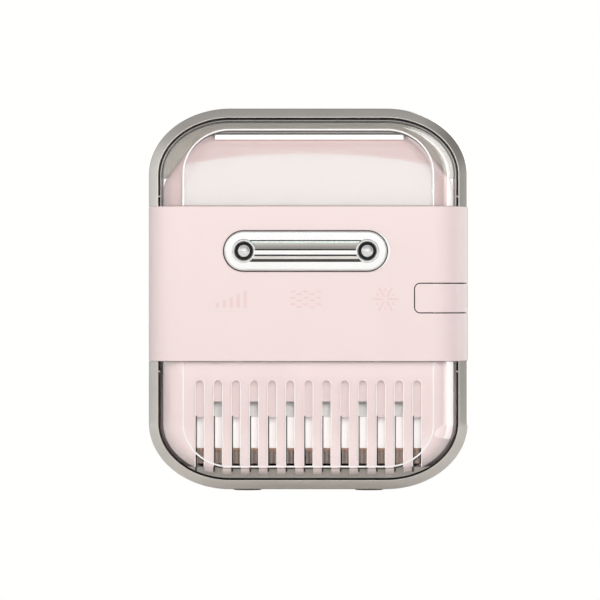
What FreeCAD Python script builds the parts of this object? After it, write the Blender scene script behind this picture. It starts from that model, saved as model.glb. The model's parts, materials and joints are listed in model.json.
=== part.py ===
import FreeCAD, Part
import math
import os

# A counter-top ice cream maker that churns and chills by itself. Millimetres.
# Front is -Y, right is +X, up is +Z. The origin is the middle of the footprint, where the feet stand.

V = FreeCAD.Vector

# --- overall shape ---
WIDTH = 250.0
HEIGHT = 300.0
FOOT_DROP = 1.5                       # the feet stand this far below the housing
CORNER_X, CORNER_Z = 64.0, 52.0       # half axes of the elliptical corners, seen from the front
HALF_W = WIDTH / 2
MID_Z = (HEIGHT + FOOT_DROP) / 2
HALF_H = (HEIGHT - FOOT_DROP) / 2

# --- levels along the depth ---
BAND_FRONT, BAND_REAR = -137.5, 137.5
COVER_FRONT = -135.0                  # front face of the clear covers
TRIM_FRONT, TRIM_REAR = -112.0, -95.0
SHELL_REAR = 134.0
REACH = 142.0                         # buttons in front and wall spacers behind

# --- wall thicknesses and gaps ---
WALL = 2.5
CLEAR_WALL = 2.0
TRIM_WIDTH = 7.2
COVER_INSET = 9.0                     # from the outline to the clear covers
COVER_ROUND = 18.5                    # rounding of the covers' front edge
REAR_ROUND = 24.0                     # rounding of the housing's rear edge
TRIM_ROUND = 2.5
LAYER_GAP, FASCIA_WALL = 0.4, 2.6     # the pink layer behind the clear lower cover
SEAM = 0.3
FIT = 0.05                            # radial running fit of a shaft in its hole
SCREW_R, SCREW_HOLE_R = 1.6, 1.7
FAR = 400.0                           # beyond the object, for cutting blocks

# --- the band ---
BAND_LOW, BAND_HIGH = 102.1, 222.9
BAND_CORNER = 27.6
BELOW_BAND = BAND_LOW - SEAM
ABOVE_BAND = BAND_HIGH + SEAM

# --- console, buttons and key on the band ---
CONSOLE_X, CONSOLE_Z = -2.2, 188.0
CONSOLE_W, CONSOLE_H = 128.0, 33.0
CONSOLE_FRONT = -140.0
BUTTON_SPACING = 96.0
BUTTON_R = 7.0
BAR_H = 16.9
KEY_LEFT, KEY_LOW, KEY_HIGH = 82.6, 139.8, 162.9
KEY_REAR = -88.0
KEY_TRAVEL = 2.0
KEY_CORNER = 5.0
KEY_GAP = 0.35

# --- bowl carrier, the upper housing ---
DECK_HALF = 113.6
DECK_TOP = 280.0
DECK_FRONT, DECK_REAR = -129.0, 112.0
DECK_ROUND = 16.3
CHAMFER_X, CHAMFER_Z = 84.0, 241.0    # where the sloping shoulders meet the top and the side
SHOULDER_R = 20.0
LAMP_LEFT, LAMP_RIGHT, LAMP_LOW = -73.0, 74.5, 276.6

# --- hinge of the hood ---
HINGE_Y, HINGE_Z = 134.3, 232.0
HINGE_X = 60.0
HINGE_PIN_R = 1.6
KNUCKLE_R = 3.2

# --- slots of the lower front ---
SLOT_COUNT, SLOT_PITCH, SLOT_W = 13, 14.1, 7.0
SLOT_TOP = 87.6
TOOTH_LOW_ODD, TOOTH_LOW_EVEN = 58.5, 70.7
PANEL_LOW = 34.2
SILL_TOP = 19.5
SILL_FRONT = -117.0

# --- churning axis, bowl and evaporator ---
AXIS_Y = -25.0
BOWL_R, BOWL_FLOOR, BOWL_WALL = 70.0, 129.0, 1.5
HUB_R, HUB_BORE, HUB_TOP = 11.0, 8.3, 175.0
CAN_R, CAN_FLOOR, CAN_WALL = 72.6, 125.0, 1.4
COIL_R, COIL_PIPE = 77.0, 2.6
FOAM_IN, FOAM_OUT, FOAM_LOW = 80.8, 92.0, 114.2
SHAFT_R, HEX_R = 5.0, 7.4

# --- drive ---
MODULE = 0.8
TEETH_SMALL, TEETH_LARGE = 17, 51
STAGE = MODULE * (TEETH_SMALL + TEETH_LARGE) / 2
BACKLASH = 0.22
OUT_XY = (0.0, AXIS_Y)
GEAR_2_XY = (STAGE, AXIS_Y)
GEAR_1_XY = (STAGE, AXIS_Y + STAGE)
MOTOR_XY = (0.0, AXIS_Y + STAGE)
LAYER_1, LAYER_2, LAYER_3 = (92.0, 97.0), (98.0, 103.0), (104.0, 111.0)
AXLE_R = 2.0
MOTOR_R = 26.0

# --- chassis ---
PLATE_LOW, PLATE_HIGH = 86.0, 89.0
FRAME_LOW, FRAME_HIGH = 218.9, 222.6
POSTS = [(-100.0, -86.0), (100.0, -86.0), (-100.0, 112.0), (100.0, 112.0)]
GUIDES = [(-95.0, -108.0), (95.0, -108.0), (-95.0, 95.0), (95.0, 95.0)]
FEET = [(-48.0, -80.0), (48.0, -80.0), (-48.0, 98.0), (48.0, 98.0)]
PANEL_HALF, PANEL_BOTTOM, PANEL_TOP = 74.0, 32.0, 94.0      # service opening in the rear wall
REAR_SCREWS = [(-69.0, 37.0), (69.0, 37.0), (-69.0, 89.0), (69.0, 89.0)]
INLET_X, INLET_Z = -87.0, 52.0

# --- cooling ---
FAN_Z, FAN_HALF, FAN_BORE = 50.7, 35.0, 33.0
FAN_FRONT, FAN_REAR = -96.5, -81.5
COMP_Y, COMP_R = 84.0, 38.0
COMP_LOW, COMP_HIGH = 16.0, 82.0
GROMMETS = [(-34.0, 50.0), (34.0, 50.0), (-34.0, 103.0), (34.0, 103.0)]


# ---------------------------------------------------------------- helpers

def box(x0, x1, y0, y1, z0, z1):
    return Part.makeBox(x1 - x0, y1 - y0, z1 - z0, V(x0, y0, z0))


def rod_z(r, z0, z1, x=0.0, y=AXIS_Y):
    return Part.makeCylinder(r, z1 - z0, V(x, y, z0))


def rod_y(r, y0, y1, x, z):
    return Part.makeCylinder(r, y1 - y0, V(x, y0, z), V(0, 1, 0))


def rod_x(r, x0, x1, y, z):
    return Part.makeCylinder(r, x1 - x0, V(x0, y, z), V(1, 0, 0))


def tube_z(r_out, r_in, z0, z1, x=0.0, y=AXIS_Y):
    return rod_z(r_out, z0, z1, x, y).cut(rod_z(r_in, z0 - 1, z1 + 1, x, y))


def joined(shapes):
    return shapes[0].multiFuse(shapes[1:]).removeSplitter()


def group(shapes):
    return Part.makeCompound(shapes)


def below(shape, z):
    return shape.common(box(-FAR, FAR, -FAR, FAR, -FAR, z))


def above(shape, z):
    return shape.common(box(-FAR, FAR, -FAR, FAR, z, FAR))


def outline(inset):
    """The front silhouette, moved inwards by inset, as a face in the plane y = 0."""
    half_w, half_h = HALF_W - inset, HALF_H - inset
    rx, rz = CORNER_X - inset, CORNER_Z - inset
    cx, cz = half_w - rx, half_h - rz
    edges = []
    for sx in (-1, 1):
        for sz in (-1, 1):
            centre = V(sx * cx, 0, MID_Z + sz * cz)
            side = centre + V(sx * rx, 0, 0)
            top = centre + V(0, 0, sz * rz)
            edges.append(Part.Arc(Part.Ellipse(side, top, centre), 0, math.pi / 2).toShape())
        edges.append(Part.makeLine(V(sx * half_w, 0, MID_Z - cz), V(sx * half_w, 0, MID_Z + cz)))
        edges.append(Part.makeLine(V(-cx, 0, MID_Z + sx * half_h), V(cx, 0, MID_Z + sx * half_h)))
    return Part.Face(Part.Wire(Part.__sortEdges__(edges)))


def along_y(face, y0, y1, front_round=0.0, rear_round=0.0):
    """A prism of the face from y0 to y1, with its front and rear edges rounded."""
    solid = face.translated(V(0, y0, 0)).extrude(V(0, y1 - y0, 0))
    for y, radius in ((y0, front_round), (y1, rear_round)):
        if radius:
            rim = [e for e in solid.Edges
                   if abs(e.BoundBox.YMin - y) < 0.01 and abs(e.BoundBox.YMax - y) < 0.01]
            solid = solid.makeFillet(radius, rim)
    return solid


def rounded_polygon(points, radii):
    """A wire through the points, each corner replaced by an arc of its radius."""
    count = len(points)
    edges, ends = [], []
    for i in range(count):
        corner, radius = points[i], radii[i]
        into = (points[i - 1] - corner).normalize()
        out = (points[(i + 1) % count] - corner).normalize()
        half = into.getAngle(out) / 2
        reach = radius / math.tan(half)
        a, b = corner + into * reach, corner + out * reach
        if radius:
            middle = corner + (into + out).normalize() * (radius / math.sin(half) - radius)
            edges.append(Part.Arc(a, middle, b).toShape())
        ends.append((a, b))
    for i in range(count):
        start, end = ends[i][1], ends[(i + 1) % count][0]
        if (end - start).Length > 1e-6:
            edges.append(Part.makeLine(start, end))
    return Part.Wire(Part.__sortEdges__(edges))


def plan_block(x0, x1, y0, y1, z0, z1, radius):
    """A block with rounded upright edges."""
    points = [V(x0, y0, z0), V(x1, y0, z0), V(x1, y1, z0), V(x0, y1, z0)]
    return Part.Face(rounded_polygon(points, [radius] * 4)).extrude(V(0, 0, z1 - z0))


def front_block(x0, x1, z0, z1, y0, y1, radius):
    """A block with rounded edges that run from front to rear."""
    points = [V(x0, y0, z0), V(x1, y0, z0), V(x1, y0, z1), V(x0, y0, z1)]
    return Part.Face(rounded_polygon(points, [radius] * 4)).extrude(V(0, y1 - y0, 0))


def pipe(points, radius, bend):
    """A round pipe with straight runs and arcs of one bend radius."""
    edges = []
    start = points[0]
    for i in range(1, len(points) - 1):
        corner = points[i]
        into = (points[i - 1] - corner).normalize()
        out = (points[i + 1] - corner).normalize()
        half = into.getAngle(out) / 2
        a = corner + into * (bend / math.tan(half))
        b = corner + out * (bend / math.tan(half))
        middle = corner + (into + out).normalize() * (bend / math.sin(half) - bend)
        edges += [Part.makeLine(start, a), Part.Arc(a, middle, b).toShape()]
        start = b
    edges.append(Part.makeLine(start, points[-1]))
    ring = Part.Wire(Part.makeCircle(radius, points[0], points[1] - points[0]))
    return Part.Wire(edges).makePipeShell([ring], True, False)


def gear(teeth, z0, z1, centre, tooth_at):
    """A spur gear with flat flanks; one tooth points along the angle tooth_at."""
    pitch_r = MODULE * teeth / 2
    tip, root = pitch_r + 0.9 * MODULE, pitch_r - 1.25 * MODULE
    half_pitch = (math.pi * MODULE / 2 - BACKLASH) / 2 / pitch_r
    slope = math.tan(math.radians(20))
    half_tip = half_pitch - (tip - pitch_r) * slope / tip
    half_root = half_pitch + (pitch_r - root) * slope / root * 0.8
    points = []
    for k in range(teeth):
        angle = tooth_at + 2 * math.pi * k / teeth
        for radius, turn in ((root, -half_root), (tip, -half_tip), (tip, half_tip), (root, half_root)):
            points.append(V(radius * math.cos(angle + turn), radius * math.sin(angle + turn), z0))
    face = Part.Face(Part.makePolygon(points + [points[0]]))
    return face.extrude(V(0, 0, z1 - z0)).translated(V(centre[0], centre[1], 0))


def save(name, shape):
    shape.exportStep("parts/" + name + ".step")


# ---------------------------------------------------------------- shells and frames

def shell(front_inset, rear_inset, wall_front, wall_rear):
    """Clear front bulge that steps out to the full outline behind the trim, as one hollow solid."""
    outer = joined([
        along_y(outline(front_inset), COVER_FRONT, TRIM_REAR + WALL, COVER_ROUND),
        along_y(outline(rear_inset), TRIM_REAR, SHELL_REAR, 0, REAR_ROUND),
    ])
    inner = joined([
        along_y(outline(front_inset + wall_front), COVER_FRONT + wall_front, TRIM_REAR + WALL + 1,
                COVER_ROUND - wall_front),
        along_y(outline(rear_inset + wall_rear), TRIM_REAR + WALL, SHELL_REAR - wall_rear,
                0, REAR_ROUND - wall_rear),
    ])
    return outer.cut(inner)


def hood():
    body = above(shell(COVER_INSET, 0.0, CLEAR_WALL, WALL), ABOVE_BAND)
    for side in (-1, 1):
        gap = box(side * HINGE_X - 8, side * HINGE_X + 8, 120, 150, 200, HINGE_Z + 6.5)
        body = body.cut(gap)
        for middle in (side * HINGE_X - 13, side * HINGE_X + 13):
            body = body.fuse(rod_x(KNUCKLE_R, middle - 5, middle + 5, HINGE_Y, HINGE_Z))
    bore = rod_x(HINGE_PIN_R + FIT, -200, 200, HINGE_Y, HINGE_Z)
    return body.cut(bore).removeSplitter()


def trim():
    rim = along_y(outline(0), TRIM_FRONT, TRIM_REAR, TRIM_ROUND)
    return rim.cut(along_y(outline(TRIM_WIDTH), TRIM_FRONT - 1, TRIM_REAR + 1))


def seal():
    rim = along_y(outline(TRIM_WIDTH + 0.1), TRIM_FRONT + 3.5, TRIM_REAR - 0.1)
    return rim.cut(along_y(outline(COVER_INSET - 0.1), TRIM_FRONT, TRIM_REAR + 1))


def deck_face(grow):
    """The bowl carrier seen from the front: a block with sloping shoulders."""
    half, top, low = DECK_HALF + grow, DECK_TOP + grow, ABOVE_BAND
    points = [V(-half, 0, low), V(-half, 0, CHAMFER_Z + grow / 2), V(-CHAMFER_X - grow / 2, 0, top),
              V(CHAMFER_X + grow / 2, 0, top), V(half, 0, CHAMFER_Z + grow / 2), V(half, 0, low)]
    bend = SHOULDER_R + grow
    return Part.Face(rounded_polygon(points, [0, bend, bend, bend, bend, 0]))


def deck_block(inset):
    """The carrier's solid envelope, moved inwards by inset, with a rounded front edge."""
    front = DECK_FRONT + inset
    solid = along_y(deck_face(-inset), front, DECK_REAR - inset)
    rim = [e for e in solid.Edges
           if abs(e.BoundBox.YMax - front) < 0.01 and e.BoundBox.ZMax > ABOVE_BAND + 0.1]
    return solid.makeFillet(DECK_ROUND - inset, rim)


def hood_bezel():
    plate = along_y(outline(COVER_INSET + CLEAR_WALL + 0.1), -106, -103)
    return above(plate.cut(along_y(deck_face(1.2), -107, -102)), 245.0)


def lamp_bar():
    return deck_block(0).common(box(LAMP_LEFT, LAMP_RIGHT, DECK_FRONT, -108, LAMP_LOW, DECK_TOP + 1))


def bowl_carrier():
    """Hollow upper housing with a round well for the bowl, guide pins below and arms for the hinge."""
    room = box(-200, 200, -200, 200, ABOVE_BAND + 3, DECK_TOP - 4)
    solid = deck_block(0).cut(deck_block(3).common(room))
    well = rod_z(CAN_R + 1.4, ABOVE_BAND, DECK_TOP - 1)
    solid = joined([solid, well]).cut(rod_z(BOWL_R + 1.5, ABOVE_BAND - 1, DECK_TOP + 1))
    solid = solid.cut(rod_z(BOWL_R + 5.5, DECK_TOP - 2.5, DECK_TOP + 1))
    solid = solid.cut(lamp_bar())
    guides = [rod_z(4.0, 212.0, ABOVE_BAND + 1, x, y) for x, y in GUIDES]
    arms = [box(side * HINGE_X - 7, side * HINGE_X + 7, DECK_REAR - 1, HINGE_Y - 6, HINGE_Z - 6, HINGE_Z + 2)
            for side in (-1, 1)]
    return joined([solid] + guides + arms)


def hinge_brackets():
    pieces = []
    for side in (-1, 1):
        x0, x1 = side * HINGE_X - 7, side * HINGE_X + 7
        arm = box(x0, x1, HINGE_Y - 6, HINGE_Y, HINGE_Z - KNUCKLE_R, HINGE_Z + 2)
        eye = rod_x(KNUCKLE_R, x0, x1, HINGE_Y, HINGE_Z)
        foot = box(x0, x1, HINGE_Y - 16, HINGE_Y - 5, HINGE_Z + 2, HINGE_Z + 3.5)
        bore = rod_x(HINGE_PIN_R, x0 - 1, x1 + 1, HINGE_Y, HINGE_Z)
        pieces.append(joined([arm, eye, foot]).cut(bore))
    return group(pieces)


def hinge_pins():
    return group([rod_x(HINGE_PIN_R, side * HINGE_X - 18, side * HINGE_X + 18, HINGE_Y, HINGE_Z)
                  for side in (-1, 1)])


def cover_pins(z):
    """Two small pins that bridge the groove between the cover and its trim."""
    reach = (COVER_INSET - TRIM_WIDTH) / 2
    middle = HALF_W - TRIM_WIDTH - reach
    return group([rod_x(1.0, side * middle - reach, side * middle + reach, TRIM_FRONT + 1.5, z)
                  for side in (-1, 1)])


def band():
    sleeve = plan_block(-HALF_W, HALF_W, BAND_FRONT, BAND_REAR, BAND_LOW, BAND_HIGH, BAND_CORNER)
    inside = plan_block(-HALF_W + WALL, HALF_W - WALL, BAND_FRONT + WALL, BAND_REAR - WALL,
                        BAND_LOW - 1, BAND_HIGH + 1, BAND_CORNER - WALL)
    sleeve = sleeve.cut(inside)
    for side in (-1, 1):
        hole = rod_y(4.3, BAND_FRONT - 5, BAND_FRONT + 5, CONSOLE_X + side * BUTTON_SPACING / 2, CONSOLE_Z)
        sleeve = sleeve.cut(hole)
    low, high = KEY_LOW - KEY_GAP, KEY_HIGH + KEY_GAP
    window = joined([
        front_block(KEY_LEFT - KEY_GAP, 160, low, high, BAND_FRONT - 5, -100, KEY_CORNER),
        box(110, 160, -105, KEY_REAR + KEY_TRAVEL + 0.6, low, high),
    ])
    return sleeve.cut(window)


def side_key():
    sleeve = plan_block(-HALF_W, HALF_W, BAND_FRONT, BAND_REAR, KEY_LOW, KEY_HIGH, BAND_CORNER)
    inside = plan_block(-HALF_W + WALL, HALF_W - WALL, BAND_FRONT + WALL, BAND_REAR - WALL,
                        KEY_LOW - 1, KEY_HIGH + 1, BAND_CORNER - WALL)
    tab = front_block(KEY_LEFT, 160, KEY_LOW, KEY_HIGH, BAND_FRONT - 5, -100, KEY_CORNER)
    tab = joined([tab, box(110, 160, -105, KEY_REAR, KEY_LOW, KEY_HIGH)])
    key = sleeve.cut(inside).common(tab)
    back = BAND_FRONT + WALL
    stem = box(94, 104, back - 1, back + 4, 147, 155)
    lip = box(KEY_LEFT + 3, 97, back + 0.3, back + 1.5, KEY_LOW - 3, KEY_HIGH + 3)
    pad = box(KEY_LEFT + 3, 97, back - 0.5, back + 1.5, KEY_LOW + 2, KEY_HIGH - 2)
    return joined([key, stem, lip, pad])


def lower_housing():
    outer = along_y(outline(0), TRIM_REAR, SHELL_REAR, 0, REAR_ROUND)
    inner = along_y(outline(WALL), TRIM_REAR - 1, SHELL_REAR - WALL, 0, REAR_ROUND - WALL)
    body = outer.cut(inner)
    posts = [rod_z(6.0, 5.0, PLATE_LOW, x, y).common(outer) for x, y in POSTS]
    body = below(joined([body] + posts), BELOW_BAND)
    body = body.cut(front_block(-PANEL_HALF, PANEL_HALF, PANEL_BOTTOM, PANEL_TOP, 120, 150, 6))
    body = body.cut(box(INLET_X - 9.8, INLET_X + 9.8, 110, 150, INLET_Z - 7.8, INLET_Z + 7.8))
    for x, y in FEET:
        body = body.cut(rod_z(4.0, 0, 6, x, y))
    for x, y in POSTS:
        body = body.cut(rod_z(SCREW_HOLE_R, PLATE_LOW - 12, PLATE_LOW + 1, x, y))
    return body


def front_frame():
    ring = along_y(outline(WALL + 0.1), TRIM_REAR, TRIM_REAR + 3)
    ring = ring.cut(along_y(outline(13.9), TRIM_REAR - 1, TRIM_REAR + 4))
    return below(ring, BELOW_BAND)


def slots(width, top, y0, y1):
    first = -(SLOT_COUNT - 1) / 2 * SLOT_PITCH
    cutters = []
    for k in range(SLOT_COUNT):
        x = first + k * SLOT_PITCH
        cutters.append(box(x - width / 2, x + width / 2, y0, y1, 0, top - width / 2))
        cutters.append(rod_y(width / 2, y0, y1, x, top - width / 2))
    return group(cutters)


def lower_skin(inset, front, rounding, wall):
    """One of the two slotted layers of the lower front."""
    outer = along_y(outline(inset), front, TRIM_REAR, rounding)
    inner = along_y(outline(inset + wall), front + wall, TRIM_REAR + 1, rounding - wall)
    skin = below(outer.cut(inner), BELOW_BAND)
    return skin.cut(box(-200, 200, SILL_FRONT - SEAM, TRIM_REAR + 1, 0, SILL_TOP + SEAM))


def lower_cover():
    skin = lower_skin(COVER_INSET, COVER_FRONT, COVER_ROUND, CLEAR_WALL)
    return skin.cut(slots(SLOT_W, SLOT_TOP, COVER_FRONT - 5, TRIM_FRONT))


def lower_fascia():
    gap = CLEAR_WALL + LAYER_GAP
    skin = lower_skin(COVER_INSET + gap, COVER_FRONT + gap, COVER_ROUND - gap, FASCIA_WALL)
    return skin.cut(slots(SLOT_W + 0.6, SLOT_TOP + 0.3, COVER_FRONT - 5, TRIM_FRONT))


def slot_backing():
    front = COVER_FRONT + CLEAR_WALL + LAYER_GAP + FASCIA_WALL + 0.2
    pieces = [box(-92, 92, front, front + 2, 84, 97)]
    first = -(SLOT_COUNT - 1) / 2 * SLOT_PITCH
    for k in range(SLOT_COUNT):
        x = first + k * SLOT_PITCH
        low = TOOTH_LOW_ODD if k % 2 == 0 else TOOTH_LOW_EVEN
        pieces.append(box(x - SLOT_PITCH / 2, x + SLOT_PITCH / 2, front, front + 2, low, 85))
    return joined(pieces)


def front_sill():
    return below(along_y(outline(COVER_INSET + 0.2), SILL_FRONT, FAN_FRONT - 1), SILL_TOP)


def chassis_plate():
    plate = plan_block(-121.5, 121.5, TRIM_REAR + 4, 126, PLATE_LOW, PLATE_HIGH, 18)
    holes = [rod_z(SCREW_HOLE_R, PLATE_LOW - 1, PLATE_HIGH + 1, x, y) for x, y in POSTS]
    holes += [rod_z(9.0, PLATE_LOW - 1, PLATE_HIGH + 1, *MOTOR_XY)]
    holes += [rod_z(4.5, PLATE_LOW - 1, PLATE_HIGH + 1, 0, COMP_Y - 20)]
    holes += [rod_z(12.0, PLATE_LOW - 1, PLATE_HIGH + 1, -70, 60)]
    return plate.cut(group(holes))


def top_frame():
    edge = WALL + SEAM
    plate = plan_block(-HALF_W + edge, HALF_W - edge, BAND_FRONT + edge, BAND_REAR - edge,
                       FRAME_LOW, FRAME_HIGH, BAND_CORNER - edge)
    holes = [rod_z(CAN_R, FRAME_LOW - 1, FRAME_HIGH + 1)]
    holes += [rod_z(4.3, FRAME_LOW - 1, FRAME_HIGH + 1, x, y) for x, y in GUIDES]
    holes += [rod_z(SCREW_HOLE_R, FRAME_LOW - 1, FRAME_HIGH + 1, x, y) for x, y in POSTS]
    return plate.cut(group(holes))


def frame_posts():
    return group([tube_z(5.0, SCREW_HOLE_R, PLATE_HIGH, FRAME_LOW, x, y) for x, y in POSTS])


def rear_cover():
    """Louvred service panel with a flange behind the edge of its opening."""
    inside = SHELL_REAR - WALL
    gap = SEAM / 2
    panel = front_block(-PANEL_HALF + gap, PANEL_HALF - gap, PANEL_BOTTOM + gap, PANEL_TOP - gap,
                        inside, SHELL_REAR, 6 - gap)
    flange = front_block(-PANEL_HALF - 2.5, PANEL_HALF + 2.5, PANEL_BOTTOM - 2, PANEL_TOP + 3,
                         inside - 1.6, inside, 8)
    cover = joined([panel, flange])
    for row in range(6):
        for side in (-1, 1):
            z = PANEL_BOTTOM + 5 + row * 9
            cover = cover.cut(front_block(side * 36 - 26, side * 36 + 26, z, z + 4, 120, 150, 1.9))
    for x, z in REAR_SCREWS:
        cover = cover.cut(rod_y(SCREW_HOLE_R, 120, 150, x, z))
    return cover


def screws():
    """The screws of the posts, below and above, and the pan-head screws of the rear cover."""
    pieces = []
    for x, y in POSTS:
        pieces.append(rod_z(SCREW_R, PLATE_LOW - 11, PLATE_HIGH + 7, x, y))
        pieces.append(rod_z(SCREW_R, FRAME_LOW - 9, FRAME_HIGH, x, y))
    for x, z in REAR_SCREWS:
        shank = rod_y(SCREW_R, SHELL_REAR - 8, SHELL_REAR + 0.2, x, z)
        pieces.append(joined([shank, rod_y(3.2, SHELL_REAR, SHELL_REAR + 1.6, x, z)]))
    return group(pieces)


def feet():
    pieces = []
    for x, y in FEET:
        pad = rod_z(11.0, 0, FOOT_DROP, x, y)
        pad = pad.makeFillet(0.6, [e for e in pad.Edges if e.BoundBox.ZMax < 0.01])
        plug = rod_z(3.9, FOOT_DROP, 8, x, y)
        pieces.append(joined([pad, plug, rod_z(5.0, FOOT_DROP + WALL, 6.5, x, y)]))
    return group(pieces)


def wall_spacers():
    return group([rod_y(8.0, BAND_REAR, REACH, side * 70, 165) for side in (-1, 1)])


def power_inlet():
    x, z = INLET_X, INLET_Z
    body = box(x - 9.7, x + 9.7, SHELL_REAR - 20, SHELL_REAR, z - 7.7, z + 7.7)
    body = body.cut(front_block(x - 7.5, x + 7.5, z - 5, z + 5, SHELL_REAR - 15, SHELL_REAR + 1, 3))
    pins = [rod_y(1.1, SHELL_REAR - 16, SHELL_REAR - 3, x + side * 4.4, z) for side in (-1, 1)]
    return joined([body] + pins)


# ---------------------------------------------------------------- console and buttons

def console_plate():
    left, right = CONSOLE_X - CONSOLE_W / 2, CONSOLE_X + CONSOLE_W / 2
    low, high = CONSOLE_Z - CONSOLE_H / 2, CONSOLE_Z + CONSOLE_H / 2
    plate = front_block(left, right, low, high, CONSOLE_FRONT, BAND_FRONT, CONSOLE_H / 2 - 0.01)
    rim = [e for e in plate.Edges if abs(e.BoundBox.YMax - CONSOLE_FRONT) < 0.01]
    plate = plate.makeFillet(1.2, rim)
    for side in (-1, 1):
        x = CONSOLE_X + side * BUTTON_SPACING / 2
        plate = plate.cut(rod_y(BUTTON_R + 0.5, CONSOLE_FRONT - 1, BAND_FRONT + 1, x, CONSOLE_Z))
    return plate


def console_bar():
    half = BUTTON_SPACING / 2 - BUTTON_R - 4.0
    bar = front_block(CONSOLE_X - half, CONSOLE_X + half, CONSOLE_Z - BAR_H / 2, CONSOLE_Z + BAR_H / 2,
                      CONSOLE_FRONT - 1.6, CONSOLE_FRONT, 2.0)
    rim = [e for e in bar.Edges if abs(e.BoundBox.YMax - CONSOLE_FRONT + 1.6) < 0.01]
    return bar.makeFillet(1.2, rim)


def button(side):
    x = CONSOLE_X + side * BUTTON_SPACING / 2
    cap = rod_y(BUTTON_R, -REACH, BAND_FRONT - 1.7, x, CONSOLE_Z)
    cap = cap.makeFillet(2.2, [e for e in cap.Edges if abs(e.BoundBox.YMax + REACH) < 0.01])
    stem = rod_y(3.9, BAND_FRONT - 2, BAND_FRONT + 3.7, x, CONSOLE_Z)
    clip = rod_y(5.6, BAND_FRONT + 2.7, BAND_FRONT + 3.7, x, CONSOLE_Z)
    return joined([cap, stem, clip])


def circuit_boards():
    """The control board behind the console, and the power board on the chassis plate."""
    control = [box(-66, 62, -127, -125.4, 172, 204), box(-20, 4, -128.6, -127, 180, 196)]
    control += [box(16 + 9 * k, 22 + 9 * k, -129, -127, 183, 192) for k in range(2)]
    power = [box(-92, -30, 70, 128, 93, 95), box(-86, -60, 78, 100, 95, 112)]
    power += [box(-54, -38, 80, 96, 95, 107), rod_z(7, 94, 118, -72, 114)]
    power += [rod_z(2, PLATE_HIGH, 93.5, x, y) for x in (-88, -34) for y in (74, 122)]
    return group([joined(control), joined(power)])


def switches():
    """One small switch behind each button, and one on a bracket behind the side key."""
    pieces = []
    for side in (-1, 1):
        x = CONSOLE_X + side * BUTTON_SPACING / 2
        body = box(x - 4, x + 4, -131.0, -127, CONSOLE_Z - 4, CONSOLE_Z + 4)
        pieces.append(joined([body, rod_y(1.6, -131.6, -130, x, CONSOLE_Z)]))
    body = box(92, 106, -127.8, -119, 145, 157)
    pieces.append(joined([body, rod_y(1.5, -128.4, -127, 99, 151), box(97, 101, -119.5, -108, 149, 153)]))
    return group(pieces)


# ---------------------------------------------------------------- bowl and drive

def bowl():
    floor_z = BOWL_FLOOR + BOWL_WALL
    outer = rod_z(BOWL_R, BOWL_FLOOR, DECK_TOP - 2.0)
    outer = outer.makeFillet(6.0, [e for e in outer.Edges if abs(e.BoundBox.ZMax - BOWL_FLOOR) < 0.01])
    inner = rod_z(BOWL_R - BOWL_WALL, floor_z, DECK_TOP + 5)
    inner = inner.makeFillet(4.5, [e for e in inner.Edges if abs(e.BoundBox.ZMax - floor_z) < 0.01])
    rim = tube_z(BOWL_R + 4.8, BOWL_R - BOWL_WALL, DECK_TOP - 2.0, DECK_TOP - 0.4)
    hub = rod_z(HUB_R, BOWL_FLOOR, HUB_TOP)
    body = joined([outer.cut(inner), rim, hub])
    return body.cut(rod_z(HUB_BORE, BOWL_FLOOR - 1, HUB_TOP + 1))


def bowl_gasket():
    return tube_z(BOWL_R + 5.2, BOWL_R + 1.6, DECK_TOP - 2.5, DECK_TOP - 2.0)


def hexagon(radius, z0, z1):
    angles = [math.radians(60 * k) for k in range(7)]
    points = [V(radius * math.cos(a), AXIS_Y + radius * math.sin(a), z0) for a in angles]
    return Part.Face(Part.makePolygon(points)).extrude(V(0, 0, z1 - z0))


def paddle():
    low, high = BOWL_FLOOR + BOWL_WALL + 1.5, 262.0
    pieces = [rod_z(HUB_R + 3.5, low, HUB_TOP + 14)]
    for side in (-1, 1):
        x0, x1 = sorted((side * 8.0, side * 66.0))
        blade_0, blade_1 = sorted((side * 54.0, side * 66.5))
        pieces.append(box(x0, x1, AXIS_Y - 3, AXIS_Y + 3, low, low + 9))
        pieces.append(box(x0, x1, AXIS_Y - 2.5, AXIS_Y + 2.5, HUB_TOP + 3, HUB_TOP + 12))
        pieces.append(box(blade_0, blade_1, AXIS_Y - 2, AXIS_Y + 2, low, high))
    body = joined(pieces)
    body = body.cut(rod_z(HUB_R + 0.6, low - 1, HUB_TOP + 1.5))
    return body.cut(hexagon(HEX_R + 0.25, HUB_TOP, HUB_TOP + 10))


def output_shaft():
    return joined([rod_z(SHAFT_R, 91.3, HUB_TOP + 1.5), hexagon(HEX_R, HUB_TOP + 1.0, HUB_TOP + 9)])


def facing(a, b):
    return math.atan2(b[1] - a[1], b[0] - a[0])


def large_gear(layer, centre, mate):
    """A large gear whose tooth gap faces its mate."""
    return gear(TEETH_LARGE, layer[0], layer[1], centre, facing(centre, mate) + math.pi / TEETH_LARGE)


def small_gear(layer, centre, mate):
    return gear(TEETH_SMALL, layer[0], layer[1], centre, facing(centre, mate))


def output_gear():
    wheel = large_gear(LAYER_3, OUT_XY, GEAR_2_XY)
    return wheel.cut(rod_z(SHAFT_R, 90, 120))


def idler(large_layer, small_layer, centre, large_mate, small_mate):
    wheel = joined([large_gear(large_layer, centre, large_mate),
                    rod_z(4.5, large_layer[0], small_layer[1], *centre),
                    small_gear(small_layer, centre, small_mate)])
    return wheel.cut(rod_z(AXLE_R + FIT, 80, 120, *centre))


def gear_axles():
    return group([rod_z(AXLE_R, 89.5, 113.0, *GEAR_1_XY), rod_z(AXLE_R, 89.5, 113.0, *GEAR_2_XY)])


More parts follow.
